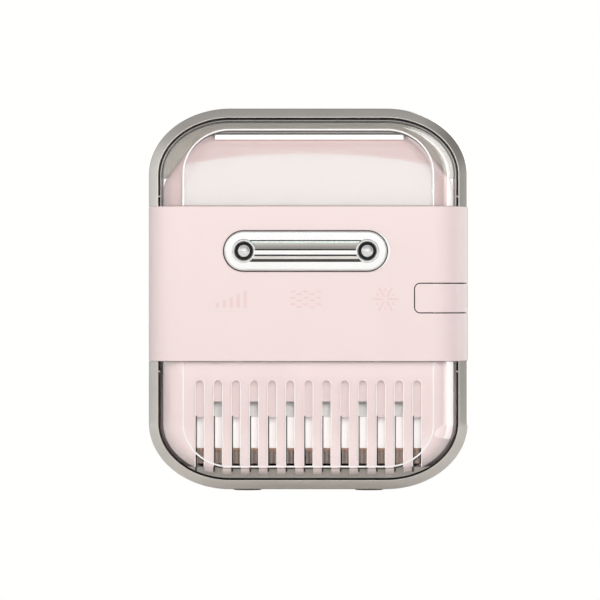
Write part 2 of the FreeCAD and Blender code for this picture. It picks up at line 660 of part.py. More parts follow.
def gearbox_base():
    x0, x1 = -25.0, STAGE + 25.0
    y0, y1 = AXIS_Y - 25.0, AXIS_Y + STAGE + 25.0
    tray = plan_block(x0, x1, y0, y1, PLATE_HIGH, 111.5, 8)
    tray = tray.cut(plan_block(x0 + 2.5, x1 - 2.5, y0 + 2.5, y1 - 2.5, PLATE_HIGH + 2.3, 112, 5.5))
    tray = tray.cut(rod_z(4.0, 80, 100, *MOTOR_XY))
    for centre in (GEAR_1_XY, GEAR_2_XY):
        tray = tray.cut(rod_z(AXLE_R, 89.5, 100, *centre))
    return tray


def gearbox_cover():
    x0, x1 = -25.0, STAGE + 25.0
    y0, y1 = AXIS_Y - 25.0, AXIS_Y + STAGE + 25.0
    lid = plan_block(x0, x1, y0, y1, 111.5, FOAM_LOW, 8)
    lid = lid.cut(rod_z(8.0, 100, 130))
    for centre in (GEAR_1_XY, GEAR_2_XY):
        lid = lid.cut(rod_z(AXLE_R, 100, 113, *centre))
    return lid


def shaft_bush():
    return tube_z(8.0, SHAFT_R + FIT, 111.5, 121.0)


def shaft_seal():
    return tube_z(7.5, SHAFT_R + FIT, CAN_FLOOR - 0.6, CAN_FLOOR + 2.4)


def motor_case():
    x, y = MOTOR_XY
    can = tube_z(MOTOR_R, MOTOR_R - 2, 26, PLATE_LOW, x, y)
    ends = [tube_z(MOTOR_R - 1, AXLE_R + FIT, z0, z1, x, y) for z0, z1 in ((26, 29), (83, PLATE_LOW))]
    boss = tube_z(8.9, AXLE_R + FIT, PLATE_LOW - 1, PLATE_HIGH, x, y)
    return joined([can, boss] + ends)


def motor_armature():
    x, y = MOTOR_XY
    core = rod_z(19.0, 36, 72, x, y)
    for k in range(6):
        groove = box(x + 9, x + 25, y - 1.5, y + 1.5, 30, 80)
        groove.rotate(V(x, y, 0), V(0, 0, 1), 60 * k)
        core = core.cut(groove)
    return core.cut(rod_z(AXLE_R, 30, 80, x, y))


def motor_shaft():
    x, y = MOTOR_XY
    return rod_z(AXLE_R, 24, LAYER_1[1], x, y)


def motor_pinion():
    return small_gear(LAYER_1, MOTOR_XY, GEAR_1_XY).cut(rod_z(AXLE_R, 80, 120, *MOTOR_XY))


# ---------------------------------------------------------------- cooling

def evaporator_can():
    outer = rod_z(CAN_R + CAN_WALL, CAN_FLOOR, FRAME_LOW)
    inner = rod_z(CAN_R, CAN_FLOOR + CAN_WALL, FRAME_LOW + 1)
    flange = tube_z(CAN_R + 6, CAN_R, FRAME_LOW - 1.5, FRAME_LOW)
    return joined([outer.cut(inner), flange]).cut(rod_z(7.5, CAN_FLOOR - 1, CAN_FLOOR + 3))


def evaporator_coil():
    """Seven turns of tube, linked at the rear by an upright header."""
    coil = rod_z(COIL_PIPE - 0.5, 132.3, 209.7, 0, AXIS_Y + COIL_R)
    for k in range(7):
        coil = coil.fuse(Part.makeTorus(COIL_R, COIL_PIPE, V(0, AXIS_Y, 135 + 12 * k)))
    return coil


def insulation():
    jacket = tube_z(FOAM_OUT, FOAM_IN, FOAM_LOW, FRAME_LOW - 0.2)
    base = tube_z(FOAM_IN + 1, 9.0, FOAM_LOW, CAN_FLOOR - 0.2)
    return joined([jacket, base]).cut(rod_z(3.4, 100, 130, 0, AXIS_Y + COIL_R))


def refrigerant_pipes():
    """Suction line from the coil to the compressor, discharge line on to the condenser."""
    y = AXIS_Y + COIL_R
    inlet_y = COMP_Y - 20
    suction = [V(0, y, 132.3), V(0, y, 103), V(0, inlet_y, 103), V(0, inlet_y, COMP_HIGH)]
    discharge = [V(-COMP_R, COMP_Y, 40), V(-91, COMP_Y, 40), V(-91, -110, 40), V(-86, -110, 40)]
    return group([pipe(suction, 2.5, 5.5), pipe(discharge, 2.5, 4.0)])


def condenser():
    """Fin pack on five rows of tube."""
    fins = [box(-82 + 4.1 * k, -81.2 + 4.1 * k, -119, -101, 22, 85) for k in range(41)]
    tubes = [rod_x(3.0, -86, 86, -110, z) for z in (32, 40, 52, 64, 76)]
    return joined(fins + tubes)


def shroud_panel():
    return front_block(-90, 90, PANEL_LOW, 92, -124, -122, 4)


def fan_frame():
    x = FAN_HALF
    frame = front_block(-x, x, FAN_Z - x, FAN_Z + x, FAN_FRONT, FAN_REAR, 5)
    frame = frame.cut(rod_y(FAN_BORE + 1, FAN_FRONT - 1, FAN_REAR + 1, 0, FAN_Z))
    hub = rod_y(12, FAN_REAR - 3, FAN_REAR, 0, FAN_Z)
    spokes = [box(-36, 36, FAN_REAR - 2, FAN_REAR, FAN_Z - 2, FAN_Z + 2),
              box(-2, 2, FAN_REAR - 2, FAN_REAR, FAN_Z - 34.5, FAN_Z + 34.5)]
    axle = rod_y(1.5, FAN_FRONT + 4, FAN_REAR - 2, 0, FAN_Z)
    return joined([frame, hub, axle] + spokes)


def fan_rotor():
    pieces = [rod_y(12.5, FAN_FRONT + 1.5, FAN_REAR - 3.8, 0, FAN_Z)]
    for k in range(7):
        blade = box(-0.8, 0.8, FAN_FRONT + 1.5, FAN_REAR - 4, FAN_Z + 11, FAN_Z + FAN_BORE - 1.5)
        blade.rotate(V(0, (FAN_FRONT + FAN_REAR) / 2 - 1, FAN_Z), V(0, 0, 1), 35)
        blade.rotate(V(0, 0, FAN_Z), V(0, 1, 0), 360 / 7 * k)
        pieces.append(blade)
    return joined(pieces).cut(rod_y(1.5 + FIT, FAN_FRONT + 3, FAN_REAR, 0, FAN_Z))


def compressor():
    body = rod_z(COMP_R, COMP_LOW, COMP_HIGH, 0, COMP_Y)
    body = body.makeFillet(15, [e for e in body.Edges if e.BoundBox.ZLength < 0.01])
    foot = plan_block(-44, 44, COMP_Y - 44, COMP_Y + 40, 12, 15, 10)
    neck = rod_z(COMP_R - 16, 14, COMP_LOW + 1, 0, COMP_Y)
    holes = [rod_z(3.5, 10, 17, x, y) for x, y in GROMMETS]
    cap = box(-10, 10, COMP_Y - COMP_R - 8, COMP_Y - COMP_R + 4, 40, 58)
    return joined([body, foot, neck, cap]).cut(group(holes))


def compressor_grommets():
    return group([joined([rod_z(6, FOOT_DROP + WALL, 12, x, y), rod_z(3.4, 11, 16, x, y)])
                  for x, y in GROMMETS])


# ---------------------------------------------------------------- hand out the nodes

def main():
    save("hood", hood())
    save("hood_trim", above(trim(), ABOVE_BAND))
    save("hood_seal", above(seal(), ABOVE_BAND))
    save("hood_bezel", hood_bezel())
    save("hood_pins", cover_pins(231.0))
    save("bowl_carrier", bowl_carrier())
    save("lamp_diffuser", lamp_bar())
    save("hinge_brackets", hinge_brackets())
    save("hinge_pins", hinge_pins())
    save("bowl", bowl())
    save("bowl_gasket", bowl_gasket())
    save("paddle", paddle())
    save("band", band())
    save("console_plate", console_plate())
    save("console_bar", console_bar())
    save("button_left", button(-1))
    save("button_right", button(1))
    save("side_key", side_key())
    save("circuit_boards", circuit_boards())
    save("switches", switches())
    save("lower_housing", lower_housing())
    save("front_frame", front_frame())
    save("base_trim", below(trim(), BELOW_BAND))
    save("base_seal", below(seal(), BELOW_BAND))
    save("base_pins", cover_pins(94.0))
    save("lower_cover", lower_cover())
    save("lower_fascia", lower_fascia())
    save("slot_backing", slot_backing())
    save("shroud_panel", shroud_panel())
    save("front_sill", front_sill())
    save("chassis_plate", chassis_plate())
    save("top_frame", top_frame())
    save("frame_posts", frame_posts())
    save("rear_cover", rear_cover())
    save("screws", screws())
    save("feet", feet())
    save("wall_spacers", wall_spacers())
    save("power_inlet", power_inlet())
    save("output_shaft", output_shaft())
    save("output_gear", output_gear())
    save("gear_2", idler(LAYER_2, LAYER_3, GEAR_2_XY, GEAR_1_XY, OUT_XY))
    save("gear_1", idler(LAYER_1, LAYER_2, GEAR_1_XY, MOTOR_XY, GEAR_2_XY))
    save("gear_axles", gear_axles())
    save("gearbox_base", gearbox_base())
    save("gearbox_cover", gearbox_cover())
    save("shaft_bush", shaft_bush())
    save("shaft_seal", shaft_seal())
    save("motor_case", motor_case())
    save("motor_armature", motor_armature())
    save("motor_shaft", motor_shaft())
    save("motor_pinion", motor_pinion())
    save("evaporator_can", evaporator_can())
    save("evaporator_coil", evaporator_coil())
    save("insulation", insulation())
    save("refrigerant_pipes", refrigerant_pipes())
    save("compressor", compressor())
    save("compressor_grommets", compressor_grommets())
    save("condenser", condenser())
    save("fan_frame", fan_frame())
    save("fan_rotor", fan_rotor())


main()
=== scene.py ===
import json
import math
import bmesh
import bpy
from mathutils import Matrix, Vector


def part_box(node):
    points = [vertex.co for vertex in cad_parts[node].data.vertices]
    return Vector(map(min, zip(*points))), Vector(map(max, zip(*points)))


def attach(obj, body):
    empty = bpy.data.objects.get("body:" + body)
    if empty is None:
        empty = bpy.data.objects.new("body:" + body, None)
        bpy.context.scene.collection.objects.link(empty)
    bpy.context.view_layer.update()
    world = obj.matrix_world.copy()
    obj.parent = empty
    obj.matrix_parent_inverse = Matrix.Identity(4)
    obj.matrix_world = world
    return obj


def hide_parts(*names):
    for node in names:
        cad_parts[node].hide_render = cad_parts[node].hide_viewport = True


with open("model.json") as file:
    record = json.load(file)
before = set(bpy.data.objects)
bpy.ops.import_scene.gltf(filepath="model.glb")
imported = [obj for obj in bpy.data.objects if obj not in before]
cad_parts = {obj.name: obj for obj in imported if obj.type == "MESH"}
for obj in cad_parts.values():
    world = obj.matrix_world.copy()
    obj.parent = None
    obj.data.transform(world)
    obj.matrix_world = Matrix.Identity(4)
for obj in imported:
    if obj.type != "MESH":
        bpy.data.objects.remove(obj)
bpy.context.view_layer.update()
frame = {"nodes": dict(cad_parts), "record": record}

# A counter-top ice cream maker: clear hood and clear lower cover over pale pink shells, chrome trim.
# All lengths are in metres. Front is -Y, right is +X, up is +Z.
MM = 0.001

# ---------------------------------------------------------------- places taken from the frame
SLOT = {entry["node"]: entry["material_slot"] for entry in frame["record"]["subparts"]}

HOUSING_LOW, HOUSING_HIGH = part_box("lower_housing")
TRIM_LOW, TRIM_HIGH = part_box("hood_trim")
HOOD_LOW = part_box("hood")[0]
BASE_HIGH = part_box("base_trim")[1]
COVER_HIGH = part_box("lower_cover")[1]
BAND_LOW, BAND_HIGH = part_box("band")
DECK_LOW, DECK_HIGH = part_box("bowl_carrier")
PLATE_LOW, PLATE_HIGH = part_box("console_plate")
LAMP_LOW, LAMP_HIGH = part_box("lamp_diffuser")
KEY_LOW, KEY_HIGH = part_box("side_key")
BOWL_LOW, BOWL_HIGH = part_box("bowl")

HALF_W = HOUSING_HIGH.x
TOP, BOTTOM = TRIM_HIGH.z, HOUSING_LOW.z
HOOD_CUT, BASE_CUT = TRIM_LOW.z, BASE_HIGH.z
COVER_FRONT = HOOD_LOW.y
TRIM_FRONT, TRIM_REAR = TRIM_LOW.y, TRIM_HIGH.y
SHELL_REAR = HOUSING_HIGH.y
COVER_INSET = HALF_W - COVER_HIGH.x

# ---------------------------------------------------------------- proportions of the shells
CORNER_X, CORNER_Z = 64 * MM, 52 * MM     # half axes of the elliptical corners, seen from the front
COVER_ROUND = 18.5 * MM
COVER_STEPS = 16
HOOD_ROUND, BASE_ROUND = 8.4 * MM, 9.5 * MM     # the same edge along the top and along the bottom
REAR_ROUND = 24 * MM
TRIM_WIDTH = 7.7 * MM
WALL, CLEAR_WALL = 2.5 * MM, 2.0 * MM
BAND_CORNER = 27.6 * MM
CORNER_STEPS = 28
ROUND_STEPS = 10
HINGE_X = 60 * MM


# ---------------------------------------------------------------- mesh helpers

def make(name, bm, material, body, *nodes, slot=None, smooth=35, bevel=0.0):
    """Turns a bmesh into a finished piece that rides on a body and stands for CAD nodes."""
    bmesh.ops.remove_doubles(bm, verts=bm.verts, dist=1e-6)
    bmesh.ops.recalc_face_normals(bm, faces=bm.faces)
    mesh = bpy.data.meshes.new(name)
    bm.to_mesh(mesh)
    bm.free()
    obj = bpy.data.objects.new(name, mesh)
    bpy.context.scene.collection.objects.link(obj)
    if bevel:
        add_bevel(obj, bevel)
    settle(obj, smooth)
    flatten_faces(obj)
    obj.data.materials.clear()
    obj.data.materials.append(material)
    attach(obj, body)
    if nodes:
        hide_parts(*nodes)
    return obj


def add_bevel(obj, width, segments=3):
    modifier = obj.modifiers.new("edges", "BEVEL")
    modifier.width = width
    modifier.segments = segments
    modifier.limit_method = "ANGLE"
    modifier.angle_limit = math.radians(38)
    modifier.use_clamp_overlap = True
    modifier.miter_outer = "MITER_ARC"


def settle(obj, smooth):
    """Applies the modifiers and shades smooth, with edges sharper than the angle kept sharp."""
    bpy.context.view_layer.update()
    depsgraph = bpy.context.evaluated_depsgraph_get()
    mesh = bpy.data.meshes.new_from_object(obj.evaluated_get(depsgraph))
    obj.modifiers.clear()
    obj.data = mesh
    for polygon in mesh.polygons:
        polygon.use_smooth = True
    mesh.set_sharp_from_angle(angle=math.radians(smooth))


def flatten_faces(obj):
    """Lets large flat faces keep their own normal, so reflections in them stay straight."""
    modifier = obj.modifiers.new("flat", "WEIGHTED_NORMAL")
    modifier.keep_sharp = True
    modifier.weight = 90
    bpy.context.view_layer.update()
    mesh = bpy.data.meshes.new_from_object(obj.evaluated_get(bpy.context.evaluated_depsgraph_get()))
    obj.modifiers.clear()
    obj.data = mesh


def boolean(obj, cutters, operation="DIFFERENCE"):
    """Cuts obj with bmeshes, one after another."""
    for bm in cutters:
        bmesh.ops.recalc_face_normals(bm, faces=bm.faces)
        mesh = bpy.data.meshes.new("cutter")
        bm.to_mesh(mesh)
        bm.free()
        cutter = bpy.data.objects.new("cutter", mesh)
        bpy.context.scene.collection.objects.link(cutter)
        modifier = obj.modifiers.new("cut", "BOOLEAN")
        modifier.operation = operation
        modifier.solver = "EXACT"
        modifier.object = cutter
        settle(obj, 35)
        bpy.data.objects.remove(cutter)


def cut_piece(name, bm, cutters, material, body, *nodes, bevel=0.0, operation="DIFFERENCE", smooth=35):
    """A piece whose outline is cut before its edges are softened."""
    bmesh.ops.remove_doubles(bm, verts=bm.verts, dist=1e-6)
    bmesh.ops.recalc_face_normals(bm, faces=bm.faces)
    mesh = bpy.data.meshes.new(name)
    bm.to_mesh(mesh)
    bm.free()
    obj = bpy.data.objects.new("raw", mesh)
    bpy.context.scene.collection.objects.link(obj)
    boolean(obj, cutters, operation)
    cut = bmesh.new()
    cut.from_mesh(obj.data)
    bpy.data.objects.remove(obj)
    bmesh.ops.dissolve_limit(cut, angle_limit=math.radians(0.5), verts=cut.verts, edges=cut.edges)
    return make(name, cut, material, body, *nodes, bevel=bevel, smooth=smooth)


def skin(bm, rings, wrap=False):
    """Quads between one ring of points and the next; returns the rings as vertices."""
    made = [[bm.verts.new(p) for p in ring] for ring in rings]
    pairs = list(zip(made, made[1:]))
    if wrap:
        pairs.append((made[-1], made[0]))
    for a, b in pairs:
        for i in range(len(a) - 1):
            bm.faces.new((a[i], a[i + 1], b[i + 1], b[i]))
    return made


def arch(inset, y, z_cut, z_end):
    """The outline moved inwards, from the cut over the top or under the bottom and back down.

    The inset is one number, or a pair: from the sides and from the top or bottom.
    """
    up = 1 if z_end > z_cut else -1
    side, end_inset = inset if isinstance(inset, tuple) else (inset, inset)
    half, end = HALF_W - side, z_end - up * end_inset
    rx, rz = CORNER_X - side, CORNER_Z - end_inset
    points = [(-half, z_cut + (end - up * rz - z_cut) * k / 4) for k in range(4)]
    for k in range(CORNER_STEPS + 1):
        a = math.pi / 2 * k / CORNER_STEPS
        points.append((-half + rx - rx * math.cos(a), end - up * rz + up * rz * math.sin(a)))
    points += [((half - rx) * k / 4, end) for k in range(-3, 1)]
    mirrored = [(-x, z) for x, z in reversed(points[:-1])]
    return [Vector((x, y, z)) for x, z in points + mirrored]


def quarter(start, end, steps=ROUND_STEPS):
    """Points (inset, y) of a quarter ellipse: it leaves start along y and meets end along the inset."""
    points = []
    for k in range(steps + 1):
        a = math.pi / 2 * k / steps
        points.append((between(start[0], end[0], 1 - math.cos(a)), between(start[1], end[1], math.sin(a))))
    return points


def between(a, b, share):
    """Part of the way from a to b, for numbers or for pairs."""
    if isinstance(a, tuple):
        return tuple(u + (v - u) * share for u, v in zip(a, b))
    return a + (b - a) * share


def hollow(outer, inner, z_cut, z_end, cap_front=True, cap_rear=True):
    """A shell between two runs of sections, each a list of (inset, y) from front to rear."""
    bm = bmesh.new()
    out = skin(bm, [arch(i, y, z_cut, z_end) for i, y in outer])
    ins = skin(bm, [arch(i, y, z_cut, z_end) for i, y in inner])
    for (a, b), (c, d) in zip(zip(out, out[1:]), zip(ins, ins[1:])):
        for end in (0, -1):
            bm.faces.new((a[end], b[end], d[end], c[end]))
    for capped, side in ((cap_front, 0), (cap_rear, -1)):
        a, b = out[side], ins[side]
        if capped:
            bm.faces.new(a)
            bm.faces.new(b)
            bm.faces.new((a[0], a[-1], b[-1], b[0]))
        else:
            for k in range(len(a) - 1):
                bm.faces.new((a[k], a[k + 1], b[k + 1], b[k]))
    return bm


def bead(section, z_cut, z_end):
    """A rim that follows the outline, with a closed section of (inset, y) points."""
    bm = bmesh.new()
    made = skin(bm, [arch(i, y, z_cut, z_end) for i, y in section], wrap=True)
    bm.faces.new([ring[0] for ring in made])
    bm.faces.new([ring[-1] for ring in made])
    return bm


def lathe(profile, centre, axis="Z", steps=64):
    """A turned solid; profile is a list of (radius, height), closed on the axis where the radius is 0."""
    bm = bmesh.new()
    rings = []
    for radius, height in profile:
        ring = []
        for k in range(steps + 1):
            a = 2 * math.pi * k / steps
            u, v = radius * math.cos(a), radius * math.sin(a)
            offset = {"Z": (u, v, height), "Y": (u, height, v), "X": (height, u, v)}[axis]
            ring.append(Vector(centre) + Vector(offset))
        rings.append(ring)
    skin(bm, rings)
    bmesh.ops.remove_doubles(bm, verts=bm.verts, dist=1e-7)
    return bm


def turned(outline, radius_of_edges, steps=3):
    """Rounds the corners of a turned profile, apart from its ends, with short arcs."""
    points = [outline[0]]
    for before, here, after in zip(outline, outline[1:], outline[2:]):
        b, h, a = Vector(before), Vector(here), Vector(after)
        r = min(radius_of_edges, (b - h).length / 2.1, (a - h).length / 2.1)
        p, q = h + (b - h).normalized() * r, h + (a - h).normalized() * r
        for k in range(steps + 1):
            t = k / steps
            points.append(tuple(p * (1 - t) ** 2 + h * 2 * t * (1 - t) + q * t ** 2))
    return points + [outline[-1]]


def slab(x0, x1, y0, y1, z0, z1):
    bm = bmesh.new()
    bmesh.ops.create_cube(bm, size=1)
    for v in bm.verts:
        v.co = Vector((x0 if v.co.x < 0 else x1, y0 if v.co.y < 0 else y1, z0 if v.co.z < 0 else z1))
    return bm


def stadium(x0, x1, z0, z1, radius, steps=12):
    """Points (x, z) of a rounded rectangle, anticlockwise from the front."""
    points = []
    for cx, cz, turn in ((x1 - radius, z0 + radius, -0.5), (x1 - radius, z1 - radius, 0),
                         (x0 + radius, z1 - radius, 0.5), (x0 + radius, z0 + radius, 1)):
        for k in range(steps + 1):
            a = math.pi * (turn + 0.5 * k / steps)
            points.append((cx + radius * math.cos(a), cz + radius * math.sin(a)))
    return points


def relief(levels):
    """A solid that steps through closed loops of (x, y, z) points and is capped at both ends."""
    bm = bmesh.new()
    rings = [[bm.verts.new(p) for p in level] for level in levels]
    for a, b in zip(rings, rings[1:]):
        for k in range(len(a)):
            bm.faces.new((a[k], a[(k + 1) % len(a)], b[(k + 1) % len(a)], b[k]))
    bm.faces.new(rings[0])
    bm.faces.new(rings[-1])
    return bm


def raised(x0, x1, z0, z1, radius, y_base, y_face, edge, steps=4):
    """A rounded rectangle standing on y_base, with a soft edge round its face."""
    levels = []
    for inset, y in [(0, y_base)] + quarter((0, y_face + edge), (edge, y_face), steps):
        loop = stadium(x0 + inset, x1 - inset, z0 + inset, z1 - inset, max(radius - inset, 0.05 * MM))
        levels.append([Vector((x, y, z)) for x, z in loop])
    return relief(levels)


def merged(parts):
    """Several bmeshes as one."""
    bm = bmesh.new()
    for part in parts:
        mesh = bpy.data.meshes.new("part")
        part.to_mesh(mesh)
        part.free()
        bm.from_mesh(mesh)
        bpy.data.meshes.remove(mesh)
    return bm


# ---------------------------------------------------------------- materials

def node(tree, kind, **inputs):
    made = tree.nodes.new(kind)
    for key, value in inputs.items():
        made.inputs[key.replace("_", " ")].default_value = value
    return made


def finish(name, colour, rough, metallic=0.0, spread=0.04, scale=60.0, bump=0.02, coat=0.0, stretch=None,
           ior=1.5, emission=0.0):
    """A procedural surface: fine colour and gloss variation from noise, and a slight surface relief."""
    mat = bpy.data.materials.new(name)
    mat.use_nodes = True
    tree = mat.node_tree
    shader = tree.nodes["Principled BSDF"]
    place = tree.nodes.new("ShaderNodeTexCoord")
    mapping = tree.nodes.new("ShaderNodeMapping")
    if stretch:
        mapping.inputs["Scale"].default_value = stretch
    tree.links.new(place.outputs["Object"], mapping.inputs["Vector"])
    cloud = node(tree, "ShaderNodeTexNoise", Scale=scale, Detail=4.0, Roughness=0.55)
    grain = node(tree, "ShaderNodeTexNoise", Scale=scale * 22, Detail=3.0, Roughness=0.6)
    for noise in (cloud, grain):
        tree.links.new(mapping.outputs["Vector"], noise.inputs["Vector"])
    ramp = tree.nodes.new("ShaderNodeValToRGB")
    low = [max(0.0, c * (1 - spread)) for c in colour]
    high = [min(1.0, c * (1 + spread)) for c in colour]
    ramp.color_ramp.elements[0].color = (*low, 1)
    ramp.color_ramp.elements[1].color = (*high, 1)
    ramp.color_ramp.elements[0].position = 0.3
    ramp.color_ramp.elements[1].position = 0.7
    tree.links.new(cloud.outputs["Fac"], ramp.inputs["Fac"])
    tree.links.new(ramp.outputs["Color"], shader.inputs["Base Color"])
    span = tree.nodes.new("ShaderNodeMapRange")
    span.inputs["To Min"].default_value = rough * 0.85
    span.inputs["To Max"].default_value = min(1.0, rough * 1.15)
    tree.links.new(grain.outputs["Fac"], span.inputs["Value"])
    tree.links.new(span.outputs["Result"], shader.inputs["Roughness"])
    relief_node = node(tree, "ShaderNodeBump", Strength=bump, Distance=0.0002)
    tree.links.new(grain.outputs["Fac"], relief_node.inputs["Height"])
    tree.links.new(relief_node.outputs["Normal"], shader.inputs["Normal"])
    shader.inputs["Metallic"].default_value = metallic
    shader.inputs["IOR"].default_value = ior
    shader.inputs["Coat Weight"].default_value = coat
    shader.inputs["Coat Roughness"].default_value = 0.04
    if emission:
        shader.inputs["Emission Color"].default_value = (*colour, 1)
        shader.inputs["Emission Strength"].default_value = emission
    return mat


def clear_plastic(name, facing, edge):
    """Polished clear plastic: nearly invisible face on, with more reflection towards its edges."""
    mat = finish(name, (0.96, 0.95, 0.94), 0.03, metallic=1.0, spread=0.005, scale=30.0, bump=0.0)
    tree = mat.node_tree
    shader = tree.nodes["Principled BSDF"]
    fresnel = node(tree, "ShaderNodeFresnel", IOR=1.45)
    span = tree.nodes.new("ShaderNodeMapRange")
    span.inputs["From Min"].default_value = 0.04
    span.inputs["To Min"].default_value = facing
    span.inputs["To Max"].default_value = edge
    tree.links.new(fresnel.outputs["Fac"], span.inputs["Value"])
    tree.links.new(span.outputs["Result"], shader.inputs["Alpha"])
    mat.surface_render_method = "BLENDED"
    return mat


CLEAR = clear_plastic("clear_plastic", 0.045, 0.27)
PINK = finish("pink_gloss", (0.75, 0.62, 0.606), 0.3, spread=0.01, scale=25.0, bump=0.004, coat=0.15)
PINK_DECK = finish("pink_deck", (0.63, 0.475, 0.462), 0.22, spread=0.01, scale=25.0, bump=0.004, coat=0.3)
# A lighter copy of the pink plastic for the lower fascia: painted light that makes up for the shade the clear
# cover casts on it.
PINK_FRONT = finish("pink_front", (0.85, 0.70, 0.685), 0.25, spread=0.015, scale=25.0, bump=0.02, coat=0.3)
PINK_SATIN = finish("pink_satin", (0.80, 0.655, 0.64), 0.42, spread=0.02, scale=25.0, bump=0.06)
MARK = finish("mark_print", (0.72, 0.54, 0.53), 0.45, spread=0.02, scale=60.0, bump=0.02)
CHROME = finish("chrome", (0.93, 0.92, 0.905), 0.06, metallic=1.0, spread=0.02, scale=40.0, bump=0.01)
# A darker copy of the chrome: painted shade for the cove along the top of the console bar.
CHROME_SHADED_COPY = finish("chrome_painted_shade", (0.60, 0.575, 0.53), 0.14, metallic=1.0, spread=0.02, scale=40.0, bump=0.01)
SATIN_CHROME = finish("satin_chrome", (0.8, 0.765, 0.715), 0.16, metallic=1.0, spread=0.03, scale=40.0,
                      bump=0.02)
# A bright white, coated surface for thin beads that paint the highlight along the crease of each clear cover
# and round each slot.
EDGE_HIGHLIGHT_WHITE = finish("painted_highlight_white", (0.98, 0.95, 0.94), 0.12, spread=0.01, scale=40.0, bump=0.01, coat=1.0)
SEAL = finish("dark_seal", (0.035, 0.03, 0.028), 0.5, spread=0.1, scale=80.0, bump=0.1)
BEZEL = finish("grey_bezel", (0.43, 0.395, 0.345), 0.35, metallic=0.2, spread=0.03, scale=50.0, bump=0.03)
WHITE = finish("white_plastic", (0.96, 0.93, 0.91), 0.35, spread=0.015, scale=60.0, bump=0.04)
# The white of the panel behind the slots glows a little: painted light, no lamp.
SHROUD_GLOW_WHITE = finish("shroud_white", (0.97, 0.94, 0.92), 0.4, spread=0.01, scale=60.0, bump=0.02, emission=0.2)
# A grey copy of the shroud's white: painted shade on the panel's upper part.
SHROUD_SHADE_GREY = finish("shroud_painted_shade_grey", (0.84, 0.84, 0.82), 0.4, spread=0.015, scale=60.0, bump=0.04)
LAMP = finish("lamp_opal", (0.98, 0.97, 0.95), 0.3, spread=0.01, scale=60.0, bump=0.01, emission=0.25)
STEEL = finish("brushed_steel", (0.60, 0.60, 0.59), 0.3, metallic=1.0, spread=0.06, scale=30.0, bump=0.06,
               stretch=(1, 1, 14))
BOWL_METAL = finish("bowl_metal", (0.78, 0.78, 0.78), 0.22, metallic=1.0, spread=0.04, scale=20.0, bump=0.04,
                    stretch=(1, 1, 12))
ZINC = finish("zinc_plate", (0.50, 0.51, 0.52), 0.4, metallic=1.0, spread=0.12, scale=90.0, bump=0.06)
# The fin metal glows a little: painted light that brightens the shaded fins behind the slots.
FIN_METAL_GLOW = finish("fin_metal", (0.92, 0.78, 0.70), 0.45, metallic=0.5, spread=0.1, scale=120.0, bump=0.05,
              emission=0.05)
COPPER = finish("copper", (0.72, 0.40, 0.25), 0.25, metallic=1.0, spread=0.1, scale=60.0, bump=0.04)
BRONZE = finish("bronze", (0.55, 0.40, 0.20), 0.4, metallic=1.0, spread=0.1, scale=200.0, bump=0.1)
ACETAL = finish("acetal", (0.78, 0.76, 0.68), 0.4, spread=0.03, scale=60.0, bump=0.05)
BLACK = finish("black_plastic", (0.012, 0.012, 0.012), 0.5, spread=0.15, scale=200.0, bump=0.15, ior=1.3)
ENAMEL = finish("black_enamel", (0.015, 0.015, 0.015), 0.2, spread=0.1, scale=40.0, bump=0.04, coat=0.3)
RUBBER = finish("black_rubber", (0.03, 0.03, 0.03), 0.7, spread=0.15, scale=150.0, bump=0.2)
SILICONE = finish("silicone", (0.62, 0.61, 0.59), 0.5, spread=0.03, scale=80.0, bump=0.05)
FOAM = finish("foam", (0.80, 0.72, 0.50), 0.85, spread=0.08, scale=180.0, bump=0.4)
BOARD = finish("board_green", (0.03, 0.16, 0.07), 0.4, spread=0.2, scale=260.0, bump=0.1)
SILL = finish("sill_metal", (0.42, 0.39, 0.35), 0.3, metallic=0.8, spread=0.04, scale=60.0, bump=0.03)

NODE_FINISH = {"front_sill": SILL}
SLOT_FINISH = {
    "clear_cover": CLEAR, "pink_shell": PINK, "chrome_trim": SATIN_CHROME, "dark_seal": SEAL,
    "grey_bezel": BEZEL, "white_plastic": WHITE, "lamp_white": LAMP, "steel": STEEL, "bowl_metal": BOWL_METAL,
    "plated_steel": ZINC, "fin_metal": FIN_METAL_GLOW, "copper_pipe": COPPER, "bronze_bush": BRONZE,
    "gear_plastic": ACETAL,
    "black_plastic": BLACK, "black_paint": ENAMEL, "rubber_black": RUBBER, "gasket_silicone": SILICONE,
    "foam": FOAM, "board_green": BOARD,
}


# ---------------------------------------------------------------- hood

def cover_sections(depth, end_round):
    """Front bulge moved inwards by depth, from its flat face round the edge to its straight side."""
    face = ((COVER_INSET + COVER_ROUND, COVER_INSET + end_round), COVER_FRONT + depth)
    side = ((COVER_INSET + depth, COVER_INSET + depth), COVER_FRONT + COVER_ROUND)
    return list(reversed(quarter(side, face, COVER_STEPS)))


